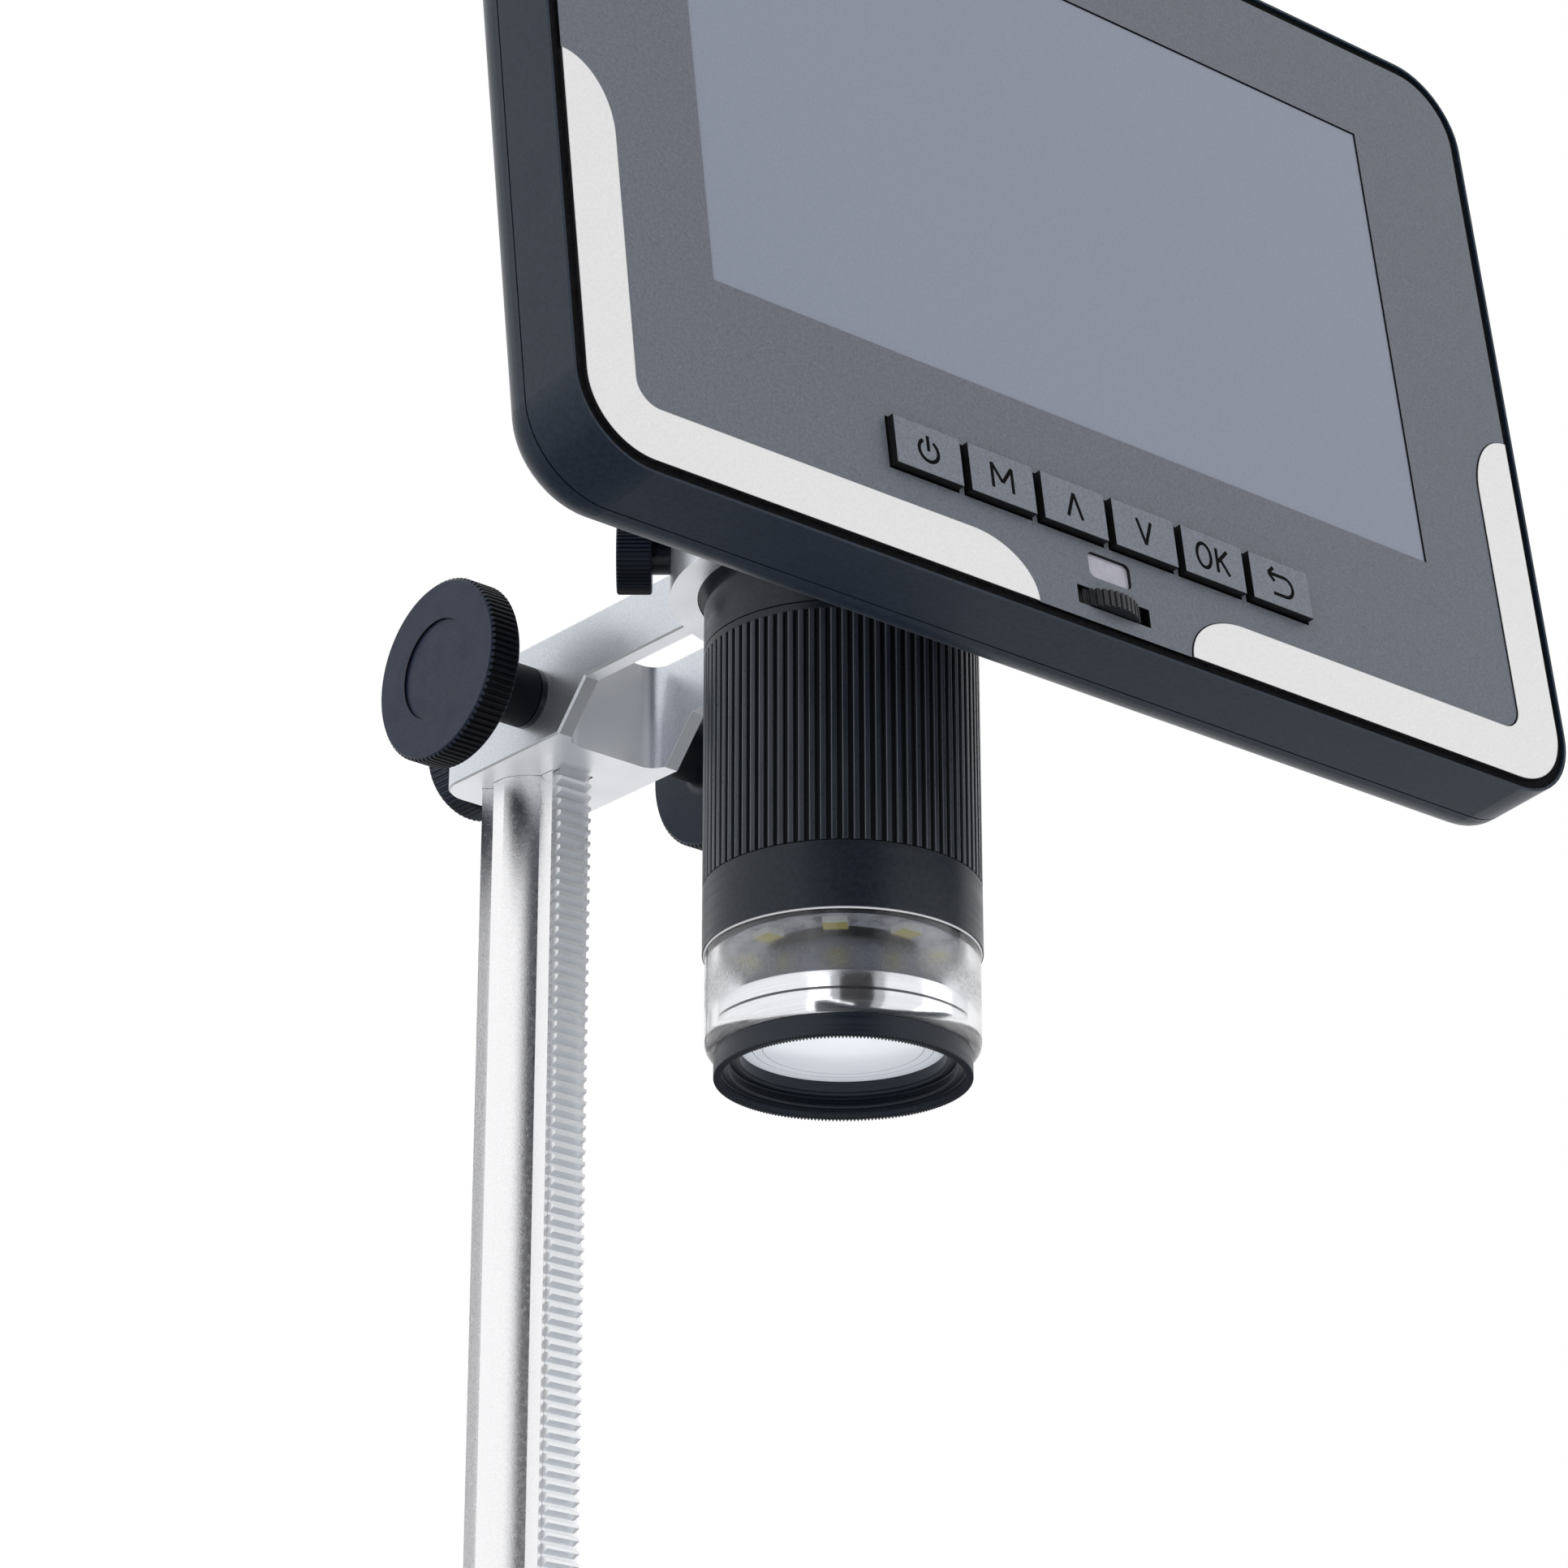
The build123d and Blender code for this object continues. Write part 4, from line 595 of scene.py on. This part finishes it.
# Painted shade: the gaps between the ribs are painted near black.
tint = blend_colour(tree, on_rib, (0.002, 0.003, 0.006), rib_tint)
paint(tree, shader, blend_colour(tree, on_collar, tint, (0.010, 0.014, 0.022)))
gloss = speckled(tree, satin, (0.26, 0.26, 0.26), (0.38, 0.38, 0.38))
tree.links.new(blend_colour(tree, on_rib, (0.75, 0.75, 0.75), gloss), shader.inputs["Roughness"])
tree.links.new(rounded.outputs["Normal"], shader.inputs["Normal"])
dress(rib_black, "focus_ring")


# ---------------------------------------------------------------- clear hood
# A turned acrylic hood over the LEDs: clear outside, hazier inside, and frosted
# between the lens cell and the LED board, where it spreads their light.
FROST_FOOT = (0.2108, 0.2120)
FROST_TOP = (0.2140, 0.2165)
FROST_ABOVE = 0.25
FACES_OUT = (-0.001, 0.001)


def outward(tree):
    """1 where a surface of the barrel faces away from its axis, 0 where it faces in."""
    along = tree.nodes.new("ShaderNodeVectorMath")
    along.operation = "DOT_PRODUCT"
    tree.links.new(from_axis(tree), along.inputs[0])
    tree.links.new(tree.nodes.new("ShaderNodeTexCoord").outputs["Normal"], along.inputs[1])
    return spread(tree, along.outputs["Value"], 0, 1, *FACES_OUT)


clear_plastic, tree, shader = finish("clear_plastic", (0.975, 0.98, 1.0), 0.2)
shader.inputs["Transmission Weight"].default_value = 0.985
shader.inputs["IOR"].default_value = 1.46
haze = grain(tree, per_metre=1500, detail=4)
frosted = tree.nodes.new("ShaderNodeMath")
frosted.operation = "MULTIPLY"
tree.links.new(spread(tree, above_desk(tree), 0, 1, *FROST_FOOT), frosted.inputs[0])
tree.links.new(spread(tree, above_desk(tree), 1, FROST_ABOVE, *FROST_TOP), frosted.inputs[1])
inner_haze = blend_colour(
    tree, frosted.outputs[0], spread(tree, haze, 0.06, 0.14), spread(tree, haze, 0.34, 0.50))
outer_haze = blend_colour(
    tree, frosted.outputs[0], spread(tree, haze, 0.02, 0.06), spread(tree, haze, 0.16, 0.34))
tree.links.new(blend_colour(tree, outward(tree), inner_haze, outer_haze), shader.inputs["Roughness"])
raise_surface(tree, shader, haze, depth=0.00001, strength=0.3)
dress(clear_plastic, "clear_hood")


# ---------------------------------------------------------------- lens cell and lenses
# A polished aluminium cell, turned, with one fine groove drawn only as a dark line of
# painted shade, and blasted dull on the snoot above it. The lenses behind it are
# clear glass.
GROOVE_HEIGHT = 0.2095
GROOVE_HALF_WIDTH = 0.00016
SNOOT_FOOT = (0.2115, 0.2117)
SNOOT_DULLNESS = 0.28

bright_metal, tree, shader = finish("bright_metal", (0.88, 0.88, 0.89), 0.14, 1.0)
turning = grain(tree, per_metre=5000, detail=2, stretch=(0.02, 0.02, 1))
tint = speckled(tree, turning, (0.88, 0.88, 0.88), (0.98, 0.98, 0.98))
# Painted shade: a dark line where the fine groove would be.
groove_shade = band(tree, above_desk(tree), GROOVE_HEIGHT, GROOVE_HALF_WIDTH)
tint = blend_colour(tree, groove_shade, tint, (0.10, 0.10, 0.11))
snoot = spread(tree, above_desk(tree), 0, 1, *SNOOT_FOOT)
paint(tree, shader, blend_colour(tree, snoot, tint, (0.56, 0.58, 0.67)))
polish = tree.nodes.new("ShaderNodeMath")
polish.operation = "ADD"
tree.links.new(spread(tree, turning, 0.09, 0.14), polish.inputs[0])
tree.links.new(spread(tree, snoot, 0, SNOOT_DULLNESS, 0, 1), polish.inputs[1])
tree.links.new(polish.outputs[0], shader.inputs["Roughness"])
raise_surface(tree, shader, turning, depth=0.00001, strength=0.3)
dress(bright_metal, "lens_cell")

lens_glass, tree, shader = finish("lens_glass", (0.96, 0.965, 1.0), 0.02)
shader.inputs["Transmission Weight"].default_value = 1.0
shader.inputs["IOR"].default_value = 1.5
smear = grain(tree, per_metre=90, detail=4)
roughen(tree, shader, smear, 0.0, 0.06)
dress(lens_glass, "lenses")


# ---------------------------------------------------------------- filter glass
# A flat coated glass seated in the lens cell, with two fine dark rings painted on as
# painted reflections of the black bore. It glows faintly, for the daylight that
# reaches a real one through the hood and optics.
RING_REFLECTION_RADII = (0.0094, 0.0106)
RING_REFLECTION_HALF_WIDTH = 0.00008

milky_glass, tree, shader = finish("milky_glass", (0.93, 0.95, 1.0), 0.2)
shader.inputs["IOR"].default_value = 1.5
shader.inputs["Specular IOR Level"].default_value = 1.0
shader.inputs["Coat Weight"].default_value = 0.5
shader.inputs["Coat Roughness"].default_value = 0.15
shader.inputs["Emission Color"].default_value = (0.84, 0.90, 1.0, 1)
shader.inputs["Emission Strength"].default_value = 0.34
smear = grain(tree, per_metre=120, detail=4)
tint = speckled(tree, smear, (0.90, 0.93, 1.0), (0.95, 0.97, 1.0))
for ring_radius in RING_REFLECTION_RADII:
    # Painted reflection: a thin dark ring for the black bore mirrored in the glass.
    line = band(tree, axis_distance(tree), ring_radius, RING_REFLECTION_HALF_WIDTH)
    tint = blend_colour(tree, line, tint, (0.35, 0.34, 0.36))
paint(tree, shader, tint)
roughen(tree, shader, smear, 0.16, 0.26)
dress(milky_glass, "filter_glass")


# ---------------------------------------------------------------- filter ring
# A black anodised ring, turned from bar: fine teeth round its lower rim, a short
# thread inside, and a spigot that reaches up in the lens cell to the glass.
filter_black, tree, shader = finish("filter_black", (0.012, 0.015, 0.022), 0.3)
shader.inputs["Specular IOR Level"].default_value = 0.38
turning = grain(tree, per_metre=3000, detail=2, stretch=(0.03, 0.03, 1))
tint = speckled(tree, turning, (0.005, 0.009, 0.018), (0.012, 0.018, 0.032))
# Painted highlight: the ring's sharp edges are painted paler.
paint(tree, shader, edged(tree, tint, (0.05, 0.052, 0.06), radius=0.0001, share=0.35))
roughen(tree, shader, turning, 0.34, 0.46)
dress(filter_black, "filter_ring")

# The section, in millimetres from the barrel's axis and above the ring's foot.
RING_FOOT = 0.204
RING_STEPS = 440
RING_OUTSIDE = ((14.3, -0.45), (14.86, -0.45), (15.0, -0.33), (15.0, 0.03), (15.0, 2.38), (14.88, 2.5),
                (12.15, 2.48), (12.15, 3.56))
RING_SPIGOT = ((11.98, 3.56), (11.95, 3.51), (11.95, 2.3), (12.2, 2.2), (12.2, 1.94), (12.25, 1.9),
               (13.1, 1.9))
THREAD_CREST = 13.2
THREAD_DEPTH = 0.15
THREAD_TOP = 1.8
THREAD_STEP = 0.1
THREAD_POINTS = 10
RING_THREAD = tuple(
    (THREAD_CREST + THREAD_DEPTH * (i % 2), THREAD_TOP - THREAD_STEP * i) for i in range(THREAD_POINTS))
RING_MOUTH = ((13.4, 0.75), (14.14, 0.75), (14.2, 0.69), (14.2, -0.39))
TOOTH_TOP = -0.25
TOOTH_DEPTH = 0.32
SAME_POINT = 0.000001
SMOOTH_UP_TO = math.radians(25)


def spun(name, profile, steps):
    """A ring turned from a closed profile of radius and height in millimetres."""
    points = [Vector((radius / 1000, BARREL_Y, RING_FOOT + rise / 1000)) for radius, rise in profile]
    piece = lone_point(name, points[0])
    for before, after in zip(points, points[1:] + points[:1]):
        bpy.ops.mesh.extrude_region_move(TRANSFORM_OT_translate={"value": after - before})
    bpy.ops.mesh.select_all(action="SELECT")
    bpy.ops.mesh.remove_doubles(threshold=SAME_POINT)
    bpy.ops.mesh.select_all(action="SELECT")
    bpy.ops.mesh.spin(steps=steps, angle=math.tau, center=(0, BARREL_Y, 0), axis=(0, 0, 1))
    bpy.ops.mesh.select_all(action="SELECT")
    bpy.ops.mesh.remove_doubles(threshold=SAME_POINT)
    bpy.ops.mesh.normals_make_consistent(inside=False)
    bpy.ops.object.mode_set(mode="OBJECT")
    return piece


filter_body = spun("filter_body", RING_OUTSIDE + RING_SPIGOT + RING_THREAD + RING_MOUTH, RING_STEPS)
bpy.ops.object.mode_set(mode="EDIT")
bpy.ops.mesh.select_mode(type="VERT")
bpy.ops.mesh.select_all(action="DESELECT")
bpy.ops.object.mode_set(mode="OBJECT")
for corner in filter_body.data.vertices:
    x, y = corner.co.x, corner.co.y - BARREL_Y
    turn = round(math.atan2(y, x) / math.tau * RING_STEPS)
    rise = (corner.co.z - RING_FOOT) * 1000
    corner.select = rise < TOOTH_TOP and turn % 2 == 1
bpy.ops.object.mode_set(mode="EDIT")
bpy.ops.transform.translate(value=(0, 0, TOOTH_DEPTH / 1000))
bpy.ops.object.mode_set(mode="OBJECT")
select_none()
filter_body.select_set(True)
bpy.context.view_layer.objects.active = filter_body
bpy.ops.object.shade_smooth_by_angle(angle=SMOOTH_UP_TO)
filter_body.data.materials.append(filter_black)
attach(filter_body, "head")
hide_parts("filter_ring")


# ---------------------------------------------------------------- LEDs and their board
# Eight white LEDs, yellow where their phosphor faces down, soldered under a round
# board with a white mask that is printed unevenly over its tracks.
LED_FACE = (-0.7, -0.3)
MASK_PRINT = (0.35, 0.65)

led_yellow, tree, shader = finish("led_yellow", (0.85, 0.72, 0.12), 0.4)
phosphor = grain(tree, per_metre=2500, detail=2)
tint = speckled(tree, phosphor, (0.74, 0.66, 0.10), (0.90, 0.84, 0.30))
lit_face = spread(tree, normal_parts(tree)["Z"], 1, 0, *LED_FACE)
paint(tree, shader, blend_colour(tree, lit_face, (0.85, 0.85, 0.80), tint))
dress(led_yellow, "leds")

led_board_white, tree, shader = finish("led_board_white", (0.7, 0.71, 0.73), 0.3)
mask = grain(tree, per_metre=420, detail=3)
paint(tree, shader, speckled(tree, mask, (0.36, 0.37, 0.40), (0.80, 0.81, 0.84), *MASK_PRINT))
roughen(tree, shader, mask, 0.2, 0.45)
dress(led_board_white, "led_board")


# ---------------------------------------------------------------- hood bead
# A thin white ring at the hood's upper edge, for its ground edge and a painted
# highlight where the acrylic catches the light. It is part of the hood and lies just
# under the lower sleeve.
BEAD_RADIUS = 0.01612
BEAD_THICKNESS = 0.00014
BEAD_HEIGHT = 0.21872

select_none()
bpy.ops.mesh.primitive_torus_add(
    major_segments=128, minor_segments=10, major_radius=BEAD_RADIUS, minor_radius=BEAD_THICKNESS,
    location=(0, BARREL_Y, BEAD_HEIGHT))
hood_bead = bpy.context.object
hood_bead.name = "hood_bead"
bpy.ops.object.transform_apply(location=True, rotation=True, scale=True)
bpy.ops.object.shade_smooth()
# Painted highlight: the ring is white where the acrylic's edge catches the light.
bead_white_highlight, tree, shader = finish("bead_white_highlight", (0.86, 0.86, 0.90), 0.25)
haze = grain(tree, per_metre=900, detail=3)
paint(tree, shader, speckled(tree, haze, (0.88, 0.88, 0.93), (0.97, 0.97, 1.0)))
hood_bead.data.materials.append(bead_white_highlight)
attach(hood_bead, "head")


# ---------------------------------------------------------------- case
# Two moulded halves of charcoal plastic and the camera's housing behind them,
# in fine satin texture, screwed together from the back.
housing, tree, shader = finish("housing", (0.007, 0.017, 0.031), 0.34)
shader.inputs["Specular IOR Level"].default_value = 0.2
shader.inputs["Sheen Weight"].default_value = 0.10
shader.inputs["Sheen Roughness"].default_value = 0.35
shader.inputs["Sheen Tint"].default_value = (0.86, 0.90, 1.0, 1)
satin = grain(tree, per_metre=1700, detail=3)
cloud = grain(tree, per_metre=60, detail=2)
tint = speckled(tree, satin, (0.006, 0.014, 0.028), (0.013, 0.024, 0.043))
# Painted highlight: the case's sharp edges are painted a little paler.
paint(tree, shader, edged(tree, tint, (0.06, 0.066, 0.075), radius=0.0002, share=0.12))
roughen(tree, shader, cloud, 0.30, 0.38)
raise_surface(tree, shader, satin, depth=0.00002, strength=0.3)
dress(housing, "front_shell", "rear_cover", "camera_housing")


# ---------------------------------------------------------------- face panel
# A grey panel with metallic flakes in its paint, let into the front shell. Its
# sides are left dark, and the display leans back a little.
FACE_TILT = math.radians(7.5)
FACE_NORMAL = (0, -math.cos(FACE_TILT), math.sin(FACE_TILT))
FLAKE_SPREAD = (0.35, 0.65)


def dark_sides(tree, tint, side_colour, at_low, at_high):
    """The tint on the front of a piece in the face, and another colour on its sides."""
    square = tree.nodes.new("ShaderNodeVectorMath")
    square.operation = "DOT_PRODUCT"
    square.inputs[1].default_value = FACE_NORMAL
    tree.links.new(tree.nodes.new("ShaderNodeTexCoord").outputs["Normal"], square.inputs[0])
    front = spread(tree, square.outputs["Value"], 0, 1, at_low, at_high)
    return blend_colour(tree, front, side_colour, tint)


panel_grey, tree, shader = finish("panel_grey", (0.1, 0.105, 0.12), 0.5)
shader.inputs["Specular IOR Level"].default_value = 0.4
flake = grain(tree, per_metre=3000, detail=4, roughness=0.8)
cloud = grain(tree, per_metre=500, detail=4, roughness=0.7)
tint = speckled(tree, flake, (0.090, 0.100, 0.124), (0.172, 0.187, 0.225), *FLAKE_SPREAD)
tint = blend_colour(tree, spread(tree, cloud, 0, 0.4), tint, (0.130, 0.142, 0.170))
paint(tree, shader, dark_sides(tree, tint, (0.003, 0.003, 0.004), 0.6, 0.9))
roughen(tree, shader, flake, 0.42, 0.58)
raise_surface(tree, shader, flake, depth=0.00003, strength=0.4)
dress(panel_grey, "face_panel")


# ---------------------------------------------------------------- trims
# Two satin silver trims, plated plastic, let into the panel's lower corners with
# a dark line where they meet it.
trim_silver, tree, shader = finish("trim_silver", (0.80, 0.80, 0.81), 0.4, 1.0)
flake = grain(tree, per_metre=3000, detail=2)
tint = speckled(tree, flake, (0.76, 0.76, 0.77), (0.84, 0.84, 0.845))
tint = edged(tree, tint, (0.06, 0.06, 0.065), radius=0.0002, share=0.85)
paint(tree, shader, dark_sides(tree, tint, (0.30, 0.30, 0.31), 0.5, 0.8))
roughen(tree, shader, flake, 0.36, 0.46)
dress(trim_silver, "trim_left", "trim_right")


# ---------------------------------------------------------------- seal
# A flat black rubber seal in the joint between the face panel and the front
# shell, cut in one piece and pressed in from the front.
FACE_FOOT = (0, -0.0642, 0.25176)
FACE_WIDTH = 0.1522
FACE_HEIGHT = 0.1067
FACE_MIDDLE = 0.04405
FACE_CORNER = 0.010
SEAL_OUTSIDE = 0.00036
SEAL_WIDTH = 0.00122
SEAL_FRONT = 0.00045
SEAL_THICKNESS = 0.0009
SEAL_CORNER_STEPS = 16


def stand_on_face(thing):
    """Turns a piece drawn flat, x right and y up, on to the display's face."""
    thing.location = FACE_FOOT
    thing.rotation_euler = (math.pi / 2 - FACE_TILT, 0, 0)
    select_none()
    thing.select_set(True)
    bpy.context.view_layer.objects.active = thing
    bpy.ops.object.transform_apply(location=True, rotation=True, scale=True)


select_none()
bpy.ops.mesh.primitive_plane_add(size=1, location=(0, FACE_MIDDLE, -SEAL_FRONT))
seal = bpy.context.object
seal.name = "seal"
seal.scale = (FACE_WIDTH - 2 * SEAL_OUTSIDE, FACE_HEIGHT - 2 * SEAL_OUTSIDE, 1)
bpy.ops.object.transform_apply(location=True, rotation=True, scale=True)
bpy.ops.object.mode_set(mode="EDIT")
bpy.ops.mesh.select_all(action="SELECT")
bpy.ops.mesh.bevel(offset=FACE_CORNER - SEAL_OUTSIDE, segments=SEAL_CORNER_STEPS, affect="VERTICES")
bpy.ops.mesh.select_all(action="SELECT")
bpy.ops.mesh.inset(thickness=SEAL_WIDTH, depth=0)
bpy.ops.mesh.delete(type="FACE")
bpy.ops.object.mode_set(mode="OBJECT")
thick = seal.modifiers.new("thick", "SOLIDIFY")
thick.thickness = SEAL_THICKNESS
thick.offset = -1
bpy.ops.object.modifier_apply(modifier="thick")
stand_on_face(seal)
seal_rubber, tree, shader = finish("seal_rubber", (0.004, 0.004, 0.005), 0.8)
shader.inputs["Specular IOR Level"].default_value = 0.1
dust = grain(tree, per_metre=1500, detail=3)
paint(tree, shader, speckled(tree, dust, (0.002, 0.002, 0.003), (0.008, 0.008, 0.010)))
seal.data.materials.append(seal_rubber)
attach(seal, "head")


# ---------------------------------------------------------------- screen
# A five inch glass over the panel's window, switched off: an even blue grey,
# printed black round its edge, on a tinned steel can.
screen, tree, shader = finish("screen", (0.21, 0.245, 0.305), 0.16)
cells = grain(tree, per_metre=3000, detail=1)
smear = grain(tree, per_metre=40, detail=3)
tint = speckled(tree, cells, (0.222, 0.256, 0.325), (0.240, 0.275, 0.345))
paint(tree, shader, dark_sides(tree, tint, (0.004, 0.004, 0.005), 0.6, 0.9))
roughen(tree, shader, smear, 0.10, 0.2)
dress(screen, "lcd_glass")

screen_back, tree, shader = finish("screen_back", (0.5, 0.5, 0.5), 0.3, 1.0)
cloud = grain(tree, per_metre=300, detail=4)
paint(tree, shader, speckled(tree, cloud, (0.42, 0.42, 0.42), (0.6, 0.6, 0.59)))
roughen(tree, shader, cloud, 0.2, 0.4)
dress(screen_back, "lcd_module")


# ---------------------------------------------------------------- keys
# Six rocker-like keys, grey on top like the panel and black on their sides, with a
# line of painted shade along their top edges.
key_grey, tree, shader = finish("key_grey", (0.1, 0.105, 0.12), 0.45)
shader.inputs["Specular IOR Level"].default_value = 0.4
flake = grain(tree, per_metre=3000, detail=4, roughness=0.8)
tint = speckled(tree, flake, (0.125, 0.136, 0.165), (0.215, 0.232, 0.280), *FLAKE_SPREAD)
# Painted shade: a dark line along the keys' top edges.
tint = edged(tree, tint, (0.012, 0.013, 0.016), radius=0.0002, share=0.85)
paint(tree, shader, dark_sides(tree, tint, (0.003, 0.003, 0.004), 0.8, 0.95))
roughen(tree, shader, flake, 0.42, 0.56)
raise_surface(tree, shader, flake, depth=0.00003, strength=0.4)
dress(key_grey, "key_power", "key_menu", "key_up", "key_down", "key_ok", "key_back")


# ---------------------------------------------------------------- key signs
# Black signs pad printed on the keys: power, menu, up, down, OK and back. Each
# is drawn as strokes in millimetres and lies flat on its key.
KEY_COUNT = 6
KEY_PITCH = 10.92
KEY_LINE = 6.2
KEY_PROUD = 1.1
STROKE_RADIUS = 0.24
STROKE_FLATNESS = 0.2
sign_ink, tree, shader = finish("sign_ink", (0.003, 0.003, 0.004), 0.8)
shader.inputs["Specular IOR Level"].default_value = 0.05
speck = grain(tree, per_metre=4000, detail=2)
paint(tree, shader, speckled(tree, speck, (0.002, 0.002, 0.003), (0.007, 0.007, 0.009)))


def arc(x, y, wide, tall, start, end, steps):
    """Points on part of an ellipse, angles in degrees."""
    turns = [math.radians(start + (end - start) * i / steps) for i in range(steps + 1)]
    return [(x + wide / 2 * math.cos(turn), y + tall / 2 * math.sin(turn)) for turn in turns]


def sign(name, place, body, strokes):
    """The strokes of a key's sign, in millimetres from the key's middle."""
    made = []
    for points in strokes:
        select_none()
        bpy.ops.curve.primitive_bezier_curve_add()
        path = bpy.context.object
        path.data.splines.clear()
        line = path.data.splines.new("POLY")
        line.points.add(len(points) - 1)
        for point, (x, y) in zip(line.points, points):
            point.co = (x / 1000, y / 1000, 0, 1)
        path.data.bevel_depth = STROKE_RADIUS / 1000
        path.data.bevel_resolution = 2
        path.data.use_fill_caps = True
        bpy.ops.object.convert(target="MESH")
        made.append(bpy.context.object)
    select_none()
    for piece in made:
        piece.select_set(True)
    bpy.context.view_layer.objects.active = made[0]
    bpy.ops.object.join()
    piece = bpy.context.object
    piece.name = name
    piece.scale = (1, 1, STROKE_FLATNESS)
    piece.location = ((place - (KEY_COUNT - 1) / 2) * KEY_PITCH / 1000, KEY_LINE / 1000, KEY_PROUD / 1000)
    bpy.ops.object.transform_apply(location=True, rotation=True, scale=True)
    stand_on_face(piece)
    piece.data.materials.append(sign_ink)
    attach(piece, body)


sign("sign_power", 0, "key_power_body",
     [arc(0, -0.15, 2.8, 2.8, 122, 418, 28), [(0, -0.2), (0, 1.75)]])
sign("sign_menu", 1, "key_menu_body",
     [[(-1.5, -1.6), (-1.5, 1.6)], [(-1.5, 1.6), (0, -0.6)], [(0, -0.6), (1.5, 1.6)],
      [(1.5, 1.6), (1.5, -1.6)]])
sign("sign_up", 2, "key_up_body", [[(-1.1, -1.6), (0, 1.6)], [(0, 1.6), (1.1, -1.6)]])
sign("sign_down", 3, "key_down_body", [[(-1.1, 1.6), (0, -1.6)], [(0, -1.6), (1.1, 1.6)]])
sign("sign_ok", 4, "key_ok_body",
     [arc(-1.55, 0, 2.2, 3.2, 0, 360, 28), [(0.55, -1.6), (0.55, 1.6)], [(2.3, 1.6), (0.7, -0.1)],
      [(1.1, 0.3), (2.4, -1.6)]])
sign("sign_back", 5, "key_back_body",
     [[(-1.0, 2.0), (-1.9, 1.1)], [(-1.9, 1.1), (-1.0, 0.2)],
      [(-1.8, 1.1), (0.6, 1.1)] + arc(0.6, -0.2, 2.6, 2.6, 90, -90, 14) + [(-1.4, -1.5)]])


# ---------------------------------------------------------------- remote control window
# Pale smoked acrylic over the infrared receiver, set in its own opening in the
# panel, between the keys and the wheel.
window_pale, tree, shader = finish("window_pale", (0.43, 0.42, 0.50), 0.2)
cloud = grain(tree, per_metre=900, detail=2)
tint = speckled(tree, cloud, (0.39, 0.385, 0.46), (0.46, 0.455, 0.54))
paint(tree, shader, dark_sides(tree, tint, (0.02, 0.02, 0.025), 0.6, 0.9))
dress(window_pale, "ir_window")


# ---------------------------------------------------------------- brightness wheel
# A ribbed wheel of black nylon that sets the LEDs. It turns on its potentiometer
# and stands out of a slot in the panel.
wheel_black, tree, shader = finish("wheel_black", (0.012, 0.012, 0.014), 0.4)
spark = grain(tree, per_metre=2400, detail=3)
tint = speckled(tree, spark, (0.006, 0.007, 0.009), (0.014, 0.015, 0.019))
# Painted highlight: the wheel's sharp rib edges are painted paler.
paint(tree, shader, edged(tree, tint, (0.07, 0.074, 0.082), radius=0.0001, share=0.8))
roughen(tree, shader, spark, 0.3, 0.45)
dress(wheel_black, "brightness_wheel")


# ---------------------------------------------------------------- boards
# Green glass fibre boards with tinned tracks: one behind the keys, the main one,
# and the image sensor's.
TRACKS_PER_METRE = 250

board_green, tree, shader = finish("board_green", (0.02, 0.12, 0.05), 0.35)
tracks = tree.nodes.new("ShaderNodeTexBrick")
tracks.inputs["Scale"].default_value = TRACKS_PER_METRE
tree.links.new(place_scaled(tree), tracks.inputs["Vector"])
paint(tree, shader, blend_colour(tree, tracks.outputs["Fac"], (0.015, 0.10, 0.04), (0.05, 0.2, 0.09)))
dress(board_green, "key_board", "main_board", "sensor_board")


# ---------------------------------------------------------------- battery
# A flat lithium cell in crimped foil. It lies on the back of the main board,
# inside the rear cover.
battery, tree, shader = finish("battery", (0.6, 0.6, 0.62), 0.35, 0.8)
folds = grain(tree, per_metre=200, detail=4)
paint(tree, shader, speckled(tree, folds, (0.5, 0.5, 0.52), (0.7, 0.7, 0.72)))
raise_surface(tree, shader, folds, depth=0.0002, strength=0.4)
dress(battery, "battery_pack")
